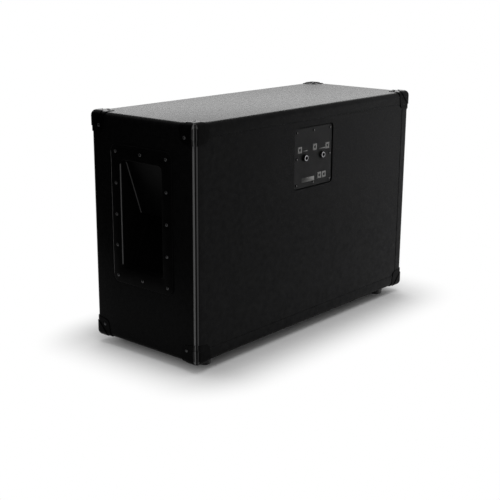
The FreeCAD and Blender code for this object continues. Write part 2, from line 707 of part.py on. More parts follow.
def driver_bolt_seats(stand_off):
    """Bolt seats around both drivers, a distance in front of the baffle."""
    seats = []
    for side in SIDES.values():
        for i in range(DRIVER_BOLTS):
            turn = 2 * math.pi * (i + 0.5) / DRIVER_BOLTS
            x = side * DRIVER_OFFSET + DRIVER_BOLT_CIRCLE * math.cos(turn)
            z = MIDDLE + DRIVER_BOLT_CIRCLE * math.sin(turn)
            seats.append((vec(x, BAFFLE_FRONT - stand_off, z), vec(0, -1, 0)))
    return seats


def driver_basket(x):
    """A pressed basket: flange, spoked cone, spider shelf and the pan that holds the magnet."""
    wall = BASKET_SHEET
    profile = [
        (DRIVER_RADIUS, -wall), (DRIVER_RADIUS, 0), (BASKET_MOUTH + wall, 0), (SHELF_OUTER, SHELF_DEPTH),
        (SHELF_INNER, SHELF_DEPTH), (SHELF_INNER, BASKET_DEPTH),
        (TOP_PLATE_HOLE + wall, BASKET_DEPTH), (TOP_PLATE_HOLE + wall, BASKET_DEPTH - wall),
        (SHELF_INNER - wall, BASKET_DEPTH - wall), (SHELF_INNER - wall, SHELF_DEPTH - wall),
        (SHELF_OUTER - wall, SHELF_DEPTH - wall), (BASKET_MOUTH, -wall),
    ]
    basket = driver_turned(profile, x)
    deep = SHELF_DEPTH - wall
    hollow = [(SHELF_OUTER, BASKET_RIM_DEPTH), (DRIVER_RADIUS, BASKET_RIM_DEPTH), (DRIVER_RADIUS, deep),
              (SHELF_OUTER, deep)]
    gaps = driver_turned(hollow, x)
    spokes = []
    for i in range(BASKET_SPOKES):
        spoke = box(0, DRIVER_RADIUS, 0, SHELF_DEPTH, -BASKET_SPOKE_WIDTH / 2, BASKET_SPOKE_WIDTH / 2)
        spoke.rotate(vec(0, 0, 0), vec(0, 1, 0), 360.0 * i / BASKET_SPOKES)
        spoke.translate(vec(x, BAFFLE_FRONT, MIDDLE))
        spokes.append(spoke)
    return basket.cut(gaps.cut(spokes))


def driver_motor(x):
    """The magnet between its front plate and the yoke, whose pole stands in the voice coil."""
    front = BASKET_DEPTH
    magnet_front = front + TOP_PLATE_THICKNESS
    magnet_back = magnet_front + MAGNET_THICKNESS
    yoke_back = magnet_back + YOKE_THICKNESS
    shapes = {
        "top_plate": [
            (TOP_PLATE_HOLE, front), (TOP_PLATE_RADIUS, front),
            (TOP_PLATE_RADIUS, magnet_front), (TOP_PLATE_HOLE, magnet_front),
        ],
        "magnet": [
            (MAGNET_HOLE, magnet_front), (MAGNET_RADIUS, magnet_front),
            (MAGNET_RADIUS, magnet_back), (MAGNET_HOLE, magnet_back),
        ],
        "yoke": [
            (0, front), (POLE_RADIUS, front), (POLE_RADIUS, magnet_back),
            (TOP_PLATE_RADIUS, magnet_back), (TOP_PLATE_RADIUS, yoke_back), (0, yoke_back),
        ],
    }
    return {name: driver_turned(profile, x) for name, profile in shapes.items()}


def driver_moving(x):
    """Cone, dust cap and voice coil, which move together, and the surround and spider that carry them."""
    paper = CONE_PAPER
    gap = SUSPENSION_CLEARANCE
    neck = COIL_OUTER
    lip_back = -BASKET_SHEET
    lip_front = lip_back - paper
    middle = (CONE_RADIUS + gap + BASKET_MOUTH) / 2
    seat = SHELF_DEPTH - BASKET_SHEET - gap
    fold = (COIL_OUTER + gap + SHELF_INNER) / 2
    run = (CONE_RADIUS - neck) / (CONE_NECK_DEPTH - CONE_RIM_DEPTH)
    cap_depth = CONE_NECK_DEPTH - (DUST_CAP_RADIUS - neck) / run
    cap_top = cap_depth - DUST_CAP_RISE
    shapes = {
        "cone": [
            (neck, CONE_NECK_DEPTH), (CONE_RADIUS, CONE_RIM_DEPTH),
            (CONE_RADIUS, CONE_RIM_DEPTH + paper), (neck, CONE_NECK_DEPTH + paper),
        ],
        "dust_cap": [
            (0, cap_depth - paper), (DUST_CAP_RADIUS, cap_depth - paper),
            (DUST_CAP_RADIUS / 2, cap_top), (0, cap_top),
        ],
        "voice_coil": [
            (COIL_INNER, CONE_NECK_DEPTH), (COIL_OUTER, CONE_NECK_DEPTH),
            (COIL_OUTER, BASKET_DEPTH + TOP_PLATE_THICKNESS + COIL_REACH),
            (COIL_INNER, BASKET_DEPTH + TOP_PLATE_THICKNESS + COIL_REACH),
        ],
        "surround": [
            (CONE_RADIUS + gap, CONE_RIM_DEPTH), (middle, lip_front - SURROUND_ROLL),
            (BASKET_MOUTH, lip_front), (SURROUND_LIP, lip_front), (SURROUND_LIP, lip_back),
            (BASKET_MOUTH, lip_back),
            (middle, lip_back - SURROUND_ROLL), (CONE_RADIUS + gap, CONE_RIM_DEPTH + paper),
        ],
        "spider": [
            (COIL_OUTER + gap, seat - paper), (fold, seat - paper - SPIDER_FOLD), (SHELF_INNER, seat - paper),
            (SPIDER_RADIUS, seat - paper), (SPIDER_RADIUS, seat), (SHELF_INNER, seat),
            (fold, seat - SPIDER_FOLD), (COIL_OUTER + gap, seat),
        ],
    }
    return {name: driver_turned(profile, x) for name, profile in shapes.items()}


def driver_gasket(x):
    """The ring over the surround's glued lip."""
    back = -BASKET_SHEET - CONE_PAPER
    front = back - GASKET_THICKNESS
    ring = [(BASKET_MOUTH, front), (SURROUND_LIP, front), (SURROUND_LIP, back), (BASKET_MOUTH, back)]
    return driver_turned(ring, x)


def terminal_place(side):
    """Where a driver's terminal strip sits: on the back of its spider shelf, towards the cabinet's middle."""
    middle = (SHELF_OUTER + SHELF_INNER) / 2
    return vec(side * (DRIVER_OFFSET - middle), BAFFLE_FRONT + SHELF_DEPTH, MIDDLE)


def driver_terminal(side):
    """A strip with two solder tabs."""
    place = terminal_place(side)
    half = (SHELF_OUTER - SHELF_INNER) / 2 - SUSPENSION_CLEARANCE
    back = place.y + TERMINAL_THICKNESS
    strip = box(
        place.x - half, place.x + half, place.y, back,
        place.z - TERMINAL_LENGTH / 2, place.z + TERMINAL_LENGTH / 2,
    )
    tabs = []
    for z in (-TERMINAL_LENGTH / 4, TERMINAL_LENGTH / 4):
        low = place.z + z - FLEX_THICKNESS / 2
        high = low + FLEX_THICKNESS
        tabs.append(box(place.x - half / 2, place.x + half / 2, back, back + TERMINAL_TAB, low, high))
    return strip.fuse(tabs)


def flex(side):
    """A flat twin flex in one plane: straight out of the jack, across, and straight on to the terminals."""
    jack = jack_places()["right" if side > 0 else "left"]
    start = vec(jack.x, PLATE_BACK - JACK_HOUSING_DEPTH - SUSPENSION_CLEARANCE, jack.z)
    end = terminal_place(side) + vec(0, TERMINAL_THICKNESS + SUSPENSION_CLEARANCE, 0)
    aside = vec(end.x - start.x, 0, end.z - start.z)
    reach = aside.Length
    aside.normalize()
    ahead = vec(0, -1, 0)
    depth = start.y - end.y
    turn = math.atan2(reach, depth - 2 * FLEX_LEAD)
    straight = FLEX_LEAD - FLEX_BEND * math.tan(turn / 2)
    swing = [turn * i / EASE_FLATS for i in range(EASE_FLATS + 1)]
    first = [(t, FLEX_BEND - FLEX_BEND * math.cos(t), straight + FLEX_BEND * math.sin(t)) for t in swing]
    second = [(t, reach - across, depth - along) for t, across, along in reversed(first)]
    line = [(0, 0, 0)] + first + second + [(0, reach, depth)]
    edges = []
    for offset in (-FLEX_THICKNESS / 2, FLEX_THICKNESS / 2):
        moved = [(x + offset * math.cos(t), y - offset * math.sin(t)) for t, x, y in line]
        edges.append([start + aside * x + ahead * y for x, y in moved])
    wide = ahead.cross(aside) * FLEX_WIDTH
    ribbon = sheet(edges[0] + edges[1][::-1]).extrude(wide)
    ribbon.translate(wide * -0.5)
    return ribbon


def all_nodes():
    """Every piece of the cabinet by its node name."""
    nodes = {}
    nodes.update(carcass_boards())
    nodes.update(inner_boards())
    nodes.update(coverings())
    nodes.update(grille())
    handle_screw_seats = []
    for name, side in SIDES.items():
        nodes[name + "_handle"] = handle(side)
        handle_screw_seats += handle_seats(side)
    nodes["handle_screws"] = screws_on(HANDLE_SCREW, handle_screw_seats)
    nodes.update(corner_protectors())
    nodes["corner_screws"] = screws_on(CORNER_SCREW, corner_seats(CORNER_SEAT + CORNER_FLAP))
    nodes.update(feet())
    nodes["foot_screws"] = screws_on(FOOT_SCREW, foot_seats())
    nodes["jack_plate"] = jack_plate()
    nodes["jack_plate_screws"] = screws_on(PLATE_SCREW, plate_seats())
    nodes.update(jack_rings())
    for name, place in jack_places().items():
        nodes[name + "_jack_body"] = jack_body(place)
        nodes[name + "_jack_spring"] = jack_spring(place)
    bolt_seats = driver_bolt_seats(BASKET_SHEET)
    for name, side in SIDES.items():
        x = side * DRIVER_OFFSET
        pieces = {
            "basket": drill(driver_basket(x), DRIVER_BOLT, DRIVER_BOLT.length, bolt_seats),
            "gasket": driver_gasket(x),
            "terminals": driver_terminal(side),
            "flex": flex(side),
        }
        pieces.update(driver_motor(x))
        pieces.update(driver_moving(x))
        nodes.update({name + "_" + kind: piece for kind, piece in pieces.items()})
    nodes["driver_bolts"] = screws_on(DRIVER_BOLT, bolt_seats)
    return nodes


def main():
    """Writes one file per piece."""
    os.makedirs("parts", exist_ok=True)
    for name, shape in all_nodes().items():
        shape.exportStep(os.path.join("parts", name + ".step"))
        print(name, len(shape.Solids), "solids", shape.isValid())


main()
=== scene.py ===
"""Dresses a closed-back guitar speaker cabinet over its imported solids.

Metres, +Z up, front towards -Y, the origin on the floor under the middle of the cabinet.
"""
import logging
import math
from dataclasses import dataclass, replace
from enum import Enum
from itertools import product
from typing import Callable, Iterable, Sequence

import bmesh
import bpy
from bmesh.types import BMEdge, BMFace, BMVert
from bpy.types import ID, Material, Node, NodeSocket, NodeTree, Object
from mathutils import Matrix, Vector


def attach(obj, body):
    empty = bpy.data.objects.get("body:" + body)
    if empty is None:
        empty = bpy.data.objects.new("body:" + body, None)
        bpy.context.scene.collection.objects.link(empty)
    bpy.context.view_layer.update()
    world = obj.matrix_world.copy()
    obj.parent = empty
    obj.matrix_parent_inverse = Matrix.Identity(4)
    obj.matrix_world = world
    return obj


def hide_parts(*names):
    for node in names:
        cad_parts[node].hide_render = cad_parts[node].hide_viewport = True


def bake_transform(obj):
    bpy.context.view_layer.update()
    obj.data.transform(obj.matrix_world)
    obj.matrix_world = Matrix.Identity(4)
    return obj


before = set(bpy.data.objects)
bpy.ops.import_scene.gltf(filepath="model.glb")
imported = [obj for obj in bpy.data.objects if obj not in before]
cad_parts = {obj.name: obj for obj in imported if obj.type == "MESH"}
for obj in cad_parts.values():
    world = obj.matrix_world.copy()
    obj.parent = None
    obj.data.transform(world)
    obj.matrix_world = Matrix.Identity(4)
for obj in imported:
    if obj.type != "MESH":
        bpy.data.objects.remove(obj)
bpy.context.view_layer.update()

LOG = logging.getLogger("cabinet")
Colour = tuple[float, float, float]
Point = tuple[float, float, float]
Section = Sequence[tuple[float, float]]
Seats = list[tuple[Point, Point]]
UP = Vector((0.0, 0.0, 1.0))
NEAR = 1e-6
CUT = 1e-7
CORNER_STEPS = 5
TURNED_STEPS = 4
HOLE_STEPS = 24
SMALL_STEPS = 40
EASED_STEPS = 2
FACING = 0.99
AIM_POWER = 8


class Side(Enum):
    """The two ends of the cabinet, seen from the front."""
    LEFT = -1
    RIGHT = 1

    @property
    def word(self) -> str:
        """The side's name as the nodes give it."""
        return self.name.lower()


class Grain(Enum):
    """The way that a board's grain runs, as repeats in a metre along each axis."""
    ACROSS = (2.0, 70.0, 70.0)
    UPRIGHT = (70.0, 70.0, 2.0)


class Hold(Enum):
    """What a piece of a driver hangs on."""
    BASKET = "basket"
    CONE = "cone"
    BOTH = "both"


@dataclass(frozen=True)
class Box:
    """The cabinet's outside and the places on it that several sub-assemblies share."""
    half_width: float = 0.3875
    rear: float = 0.1525
    floor: float = 0.020
    top: float = 0.520
    edge: float = 0.011
    edge_steps: int = 8
    mouth: float = 0.0196
    corner_screw: float = 0.027
    handle_face: float = 0.391
    plate_face: float = 0.1502
    plate_middle: float = 0.408
    foot_x: float = 0.3275
    foot_y: float = 0.1185
    foot_well: float = 0.010
    driver_x: float = 0.176
    driver_middle: float = 0.270


BOX = Box()


class Tree:
    """A tree of shader nodes, with short calls that fill it."""

    def __init__(self, tree: NodeTree) -> None:
        """Takes over a tree."""
        self.nodes = tree.nodes
        self.links = tree.links

    def find(self, kind: str) -> Node:
        """The tree's first node of a kind."""
        return next(node for node in self.nodes if node.type == kind)

    def fill(self, node: Node, inputs: dict[str | int, object]) -> None:
        """Links or sets some of a node's inputs.

        Args:
            node: the node.
            inputs: the output or the plain value that goes into each.
        """
        for key, value in inputs.items():
            if isinstance(value, NodeSocket):
                self.links.new(value, node.inputs[key])
            else:
                node.inputs[key].default_value = value

    def add(
        self, kind: str, output: str | int, inputs: dict[str | int, object], **settings: object
    ) -> NodeSocket:
        """Adds a node.

        Args:
            kind: its type, without the word that all types start with.
            output: the output that is wanted.
            inputs: the output or the plain value that goes into each of its inputs.
            settings: its own properties.

        Returns:
            The wanted output.
        """
        node = self.nodes.new("ShaderNode" + kind)
        for name, value in settings.items():
            setattr(node, name, value)
        self.fill(node, inputs)
        return node.outputs[output]

    def sum(self, kind: str, first: NodeSocket, second: NodeSocket | float) -> NodeSocket:
        """Two values joined by one sum, of a kind that the math node names."""
        return self.add("Math", 0, {0: first, 1: second}, operation=kind)


class Shader(Tree):
    """A material's nodes, with short calls for the patterns that the finishes share."""

    def __init__(self, name: str) -> None:
        """Starts a material with one shader.

        Args:
            name: the material's name.
        """
        self.material = bpy.data.materials.new(name)
        self.material.use_nodes = True
        super().__init__(self.material.node_tree)
        self.surface = self.find("BSDF_PRINCIPLED")
        self.place = self.nodes.new("ShaderNodeTexCoord").outputs

    def noise(
        self, scale: float, detail: float = 3.0, warp: float = 0.0, stretch: Point | None = None
    ) -> NodeSocket:
        """Cloudy noise from 0 to 1.

        Args:
            scale: clouds in a metre, or in a repeat of the stretch.
            detail: octaves of finer cloud.
            warp: how far the noise distorts itself.
            stretch: how many times each axis repeats in a metre.

        Returns:
            The noise value.
        """
        place = self.place["Object"]
        if stretch:
            place = self.add("Mapping", "Vector", {"Scale": stretch, "Vector": place})
        values = {"Scale": scale, "Detail": detail, "Distortion": warp, "Vector": place}
        return self.add("TexNoise", "Fac", values)

    def between(
        self, share: NodeSocket, low: NodeSocket | float, high: NodeSocket | float
    ) -> NodeSocket:
        """A blend of two patterns or numbers by a share from 0 to 1."""
        return self.add("Mix", "Result", {"Factor": share, "A": low, "B": high})

    def ramp(self, share: NodeSocket, *stops: tuple[float, Colour]) -> NodeSocket:
        """Colours along a pattern.

        Args:
            share: the pattern, from 0 to 1.
            stops: where each colour stands.

        Returns:
            The colour.
        """
        colour = self.add("ValToRGB", "Color", {"Fac": share})
        ends = colour.node.color_ramp.elements
        while len(ends) < len(stops):
            ends.new(0.5)
        for end, (position, tone) in zip(ends, stops):
            end.position = position
            end.color = (*tone, 1.0)
        return colour

    def coat(
        self, colour: NodeSocket, rough: NodeSocket, height: NodeSocket, depth: float
    ) -> None:
        """Feeds the surface its colour, its roughness and a relief of a depth in metres."""
        normal = self.add("Bump", "Normal", {"Distance": depth, "Height": height})
        self.fill(self.surface, {"Base Color": colour, "Roughness": rough, "Normal": normal})


@dataclass(frozen=True)
class Finish:
    """A surface with patches of two near colours, an uneven gloss and a fine relief.

    Patches and grain are counted in a metre, the gloss in patches to a patch of colour, and the
    relief's depth is in metres. The slot is the record's, where its name isn't the finish's.
    """
    name: str
    dark: Colour
    light: Colour
    rough: tuple[float, float]
    specular: float = 0.5
    metallic: float = 0.0
    sheen: float = 0.0
    patch: float = 40.0
    grain: float = 1200.0
    depth: float = 0.00004
    slot: str = ""
    gloss: float = 2.7

    def material(self) -> Material:
        """The finish as a material, made once.

        Returns:
            The material.
        """
        name = self.name + "_finish"
        if name not in bpy.data.materials:
            shader = Shader(name)
            shader.fill(shader.surface, {
                "Metallic": self.metallic,
                "Specular IOR Level": self.specular,
                "Sheen Weight": self.sheen,
            })
            self.paint(shader)
        return bpy.data.materials[name]

    def paint(self, shader: Shader) -> None:
        """Gives a shader this finish's colour, gloss and relief."""
        rough = shader.between(shader.noise(self.patch * self.gloss), *self.rough)
        shader.coat(self.tone(shader), rough, self.height(shader), self.depth)

    def patches(self, shader: Shader) -> NodeSocket:
        """The pattern of the patches, from 0 to 1."""
        return shader.noise(self.patch, detail=4.0)

    def tone(self, shader: Shader) -> NodeSocket:
        """The colour, in patches."""
        return shader.ramp(self.patches(shader), (0.3, self.dark), (0.7, self.light))

    def height(self, shader: Shader) -> NodeSocket:
        """The relief's height from 0 to 1."""
        return shader.noise(self.grain, detail=2.0)


@dataclass(frozen=True)
class HighlightFinish(Finish):
    """A dark moulded finish, painted paler as a highlight where the piece's marking attribute says
    so.
    """
    # Pale colour that paints highlights where the piece is marked.
    highlight_colour: Colour = (0.185, 0.185, 0.186)
    mottle: float = 0.4
    # Noise that breaks up the painted highlights.
    breakup_scale: float = 12.0
    breakup_range: tuple[float, float] = (0.7, 1.0)

    def tone(self, shader: Shader) -> NodeSocket:
        """The colour in patches, with painted highlights where the piece is marked, broken up by
        noise.

        Args:
            shader: the shader that it is for.

        Returns:
            The colour.
        """
        patches = shader.sum("MULTIPLY", self.patches(shader), self.mottle)
        breakup = shader.noise(self.patch * self.breakup_scale, detail=6.0)
        # Painted highlight: the marked share, broken up by noise, turns the colour pale.
        highlight_mask = shader.add("Attribute", "Fac", {}, attribute_name="highlight_mask")
        highlight_share = shader.sum("MULTIPLY", highlight_mask, shader.between(breakup, *self.breakup_range))
        share = shader.sum("MAXIMUM", patches, highlight_share)
        return shader.ramp(share, (0.1, self.dark), (0.3, self.light), (1.0, self.highlight_colour))


@dataclass(frozen=True)
class GrainedVinyl(HighlightFinish):
    """Cloth-backed vinyl with a pebble grain, with highlights painted paler along its upright
    edges.
    """
    fine: float = 2.3

    def height(self, shader: Shader) -> NodeSocket:
        """Pebbles broken up by finer noise.

        Args:
            shader: the shader that it is for.

        Returns:
            The height.
        """
        place = {"Scale": self.grain, "Vector": shader.place["Object"]}
        pebbles = shader.add("TexVoronoi", "Distance", place, feature="SMOOTH_F1")
        return shader.sum("ADD", pebbles, shader.noise(self.grain * self.fine, detail=2.0))


@dataclass(frozen=True)
class WovenCloth(Finish):
    """Coarse woven cloth whose uneven threads cross over and under, on the piece's UV map."""
    thread: float = 0.0018
    slub: float = 260.0
    slub_length: float = 26.0
    slub_gain: float = 3.4
    hollow: float = 0.45

    def paint(self, shader: Shader) -> None:
        """Gives a shader its threads in colour, gloss and relief.

        Args:
            shader: the shader.
        """
        place = shader.place["UV"]
        bands = {"Scale": math.pi / 10 / self.thread, "Vector": place}
        warp, weft = (shader.add("TexWave", "Fac", bands, bands_direction=way) for way in "XY")
        over = shader.add("TexChecker", "Fac", {"Scale": 1.0 / self.thread, "Vector": place})
        height = shader.between(over, warp, weft)
        fine, long = self.slub, self.slub / self.slub_length
        upright = shader.noise(1.0, stretch=(fine, fine, long))
        level = shader.noise(1.0, stretch=(long, fine, fine))
        slubs = shader.sum("MULTIPLY", shader.sum("MULTIPLY", upright, level), self.slub_gain)
        tone = shader.sum("MULTIPLY", slubs, shader.between(height, self.hollow, 1.0))
        colour = shader.ramp(tone, (0.25, self.dark), (1.0, self.light))
        smooth, rough = self.rough
        shader.coat(colour, shader.between(height, rough, smooth), height, self.depth)


@dataclass(frozen=True)
class Timber(Finish):
    """Plywood or softwood with long grain and darker pores."""
    way: Grain = Grain.ACROSS
    pore: float = 6.0

    def paint(self, shader: Shader) -> None:
        """Gives a shader its grain in colour, gloss and relief.

        Args:
            shader: the shader.
        """
        fibres = shader.noise(1.0, detail=6.0, warp=0.6, stretch=self.way.value)
        pores = shader.noise(self.pore, stretch=self.way.value)
        tone = shader.between(pores, fibres, shader.noise(self.patch))
        colour = shader.ramp(tone, (0.25, self.dark), (0.7, self.light))
        height = shader.sum("ADD", fibres, pores)
        shader.coat(colour, shader.between(pores, *self.rough), height, self.depth)


@dataclass(frozen=True)
class PressedPaper(Finish):
    """Felted paper pulp, with fibres laid every way."""

    def height(self, shader: Shader) -> NodeSocket:
        """Short fibres, as warped noise."""
        return shader.noise(self.grain, detail=5.0, warp=2.5)


def grey(level: float, blue: float | None = None) -> Colour:
    """A grey, with a level of its own for blue if one is given."""
    return (level, level, level if blue is None else blue)


# Its pale colour along the upright edges' flanks is a painted highlight.
BLACK_VINYL = GrainedVinyl(
    "black_vinyl", grey(0.003, 0.0031), grey(0.0054, 0.0055), (0.22, 0.32), specular=0.012,
    patch=90.0, grain=820.0,
)
# Its pale colour on the handles' rims, lips and grip is a painted highlight.
BLACK_PLASTIC = HighlightFinish(
    "black_plastic", grey(0.0016), grey(0.0032, 0.0033), (0.24, 0.36), specular=0.012,
    patch=60.0, grain=2600.0, depth=0.00003, highlight_colour=grey(0.3, 0.302),
)
# Its pale colour along the upright edges' flanks is a painted highlight.
CORNER_PLASTIC = HighlightFinish(
    "corner_plastic", grey(0.0014), grey(0.0028, 0.0029), (0.22, 0.34), specular=0.014,
    patch=110.0, grain=2200.0, slot="black_plastic",
)
PLATE_PAINT = Finish(
    "plate_paint", grey(0.004, 0.0041), grey(0.0064, 0.0065), (0.3, 0.42), specular=0.032,
    patch=70.0, grain=3200.0, depth=0.00002, slot="black_plate",
)
PLATE_INK = Finish(
    "plate_ink", grey(0.05, 0.049), grey(0.068, 0.066), (0.5, 0.65), specular=0.1,
    patch=300.0, depth=0.00001, slot="black_plate",
)
SCREW_STEEL = Finish(
    "screw_steel", grey(0.03, 0.031), grey(0.075, 0.076), (0.22, 0.4), metallic=1.0,
    patch=400.0, depth=0.00002,
)
# Its pale recess is a painted highlight, a glint on the dark dome.
PLATE_SCREW = HighlightFinish(
    "plate_screw", grey(0.0006), grey(0.0012), (0.3, 0.45), specular=0.02,
    patch=400.0, depth=0.00002, highlight_colour=grey(0.13), slot="screw_steel",
)
JACK_CHROME = Finish(
    "jack_chrome", grey(0.3, 0.31), grey(0.46, 0.47), (0.14, 0.26), metallic=1.0,
    patch=350.0, depth=0.00001,
)
COLLAR_PLASTIC = Finish(
    "collar_plastic", grey(0.0015), grey(0.003), (0.4, 0.55), specular=0.05,
)
SPRING_BRASS = Finish(
    "spring_brass", (0.42, 0.27, 0.09), (0.6, 0.42, 0.16), (0.25, 0.4), metallic=1.0, patch=300.0,
)
FOOT_RUBBER = Finish(
    "foot_rubber", grey(0.011), grey(0.02), (0.6, 0.8), specular=0.3, patch=90.0, grain=1600.0,
)
GRILLE_CLOTH = WovenCloth(
    "grille_fabric", grey(0.003), grey(0.036, 0.037), (0.7, 0.9), specular=0.15, sheen=0.05,
    depth=0.0004,
)
PAD_FABRIC = Finish(
    "pad_fabric", grey(0.008), grey(0.02), (0.85, 0.98), sheen=0.2, grain=1500.0, depth=0.0004,
)
FLEX_SHEATH = Finish("flex_sheath", grey(0.010), grey(0.018), (0.4, 0.55), patch=80.0)
PLYWOOD = Timber(
    "plywood", (0.36, 0.24, 0.13), (0.58, 0.43, 0.26), (0.5, 0.72), patch=14.0, depth=0.00012,
)
SIDE_PLYWOOD = replace(PLYWOOD, name="side_plywood", way=Grain.UPRIGHT)
REBATE_STAIN = Timber(
    "rebate_stain", grey(0.001), grey(0.002), (0.6, 0.8), specular=0.03, depth=0.0001,
)
BAFFLE_PAINT = Timber(
    "baffle_paint", grey(0.008), grey(0.018), (0.6, 0.8), specular=0.3, depth=0.0001,
)
CONE_PAPER = PressedPaper(
    "cone_paper", grey(0.013, 0.014), grey(0.03, 0.031), (0.75, 0.95), specular=0.25,
    patch=70.0, grain=700.0, depth=0.00025,
)
SUSPENSION_CLOTH = Finish(
    "suspension_cloth", (0.012, 0.011, 0.010), (0.028, 0.026, 0.024), (0.55, 0.8),
    grain=1100.0, depth=0.00022,
)
SPIDER_CLOTH = Finish(
    "spider_cloth", (0.32, 0.2, 0.07), (0.48, 0.32, 0.13), (0.7, 0.9),
    grain=1100.0, depth=0.0002, slot="suspension_cloth",
)
COIL_METAL = Finish(
    "coil_metal", (0.5, 0.26, 0.12), (0.66, 0.37, 0.19), (0.3, 0.5), metallic=1.0, grain=2400.0,
)
BASKET_PAINT = Finish(
    "basket_paint", grey(0.014, 0.015), grey(0.025, 0.026), (0.3, 0.5), grain=900.0,
)
MOTOR_STEEL = Finish(
    "motor_steel", grey(0.3, 0.29), grey(0.45, 0.43), (0.35, 0.55), metallic=1.0, patch=90.0,
)
FERRITE = Finish(
    "ferrite", (0.022, 0.021, 0.021), (0.045, 0.044, 0.043), (0.55, 0.8), patch=120.0,
    depth=0.0001,
)
GASKET_BOARD = PressedPaper(
    "gasket_board", (0.03, 0.028, 0.025), (0.06, 0.056, 0.05), (0.8, 0.95),
    patch=90.0, grain=800.0, depth=0.0002,
)
STUDIO_FLAG = Finish("studio_flag", grey(0.001), grey(0.002), (0.9, 1.0), specular=0.0)
# Grey near the cabinet, where the white fade doesn't reach: painted shade that widens the real
# shadow.
STUDIO_FLOOR = Finish("studio_floor", grey(0.79), grey(0.81), (0.9, 1.0), specular=0.0)


def unit(axis: int) -> Vector:
    """The direction of one axis."""
    return Vector([float(index == axis) for index in range(3)])


def only(kind: type, made: Iterable[object]) -> list:
    """The items of one kind."""
    return [item for item in made if isinstance(item, kind)]


def axes(across: Point, along: Point, out: Point, origin: Point) -> Matrix:
    """A place for a flat drawing, by where its X, Y and Z axes point and its origin goes."""
    turn = Matrix((across, along, out)).transposed().to_4x4()
    return Matrix.Translation(origin) @ turn


def rear_face(x: float, y: float, z: float) -> Matrix:
    """A place on the rear of the cabinet, drawn as seen from behind."""
    return axes((-1, 0, 0), (0, 0, 1), (0, 1, 0), (x, y, z))


def ring(inner: float, outer: float, low: float, high: float) -> Section:
    """The section of a square-edged ring, by its two radii and its two heights."""
    return ((inner, low), (outer, low), (outer, high), (inner, high))


def show(name: str, data: ID) -> Object:
    """Links a new object to the scene.

    Args:
        name: its name.
        data: its mesh, curve, light or camera.

    Returns:
        The object, at the origin.
    """
    made = bpy.data.objects.new(name, data)
    bpy.context.scene.collection.objects.link(made)
    return made


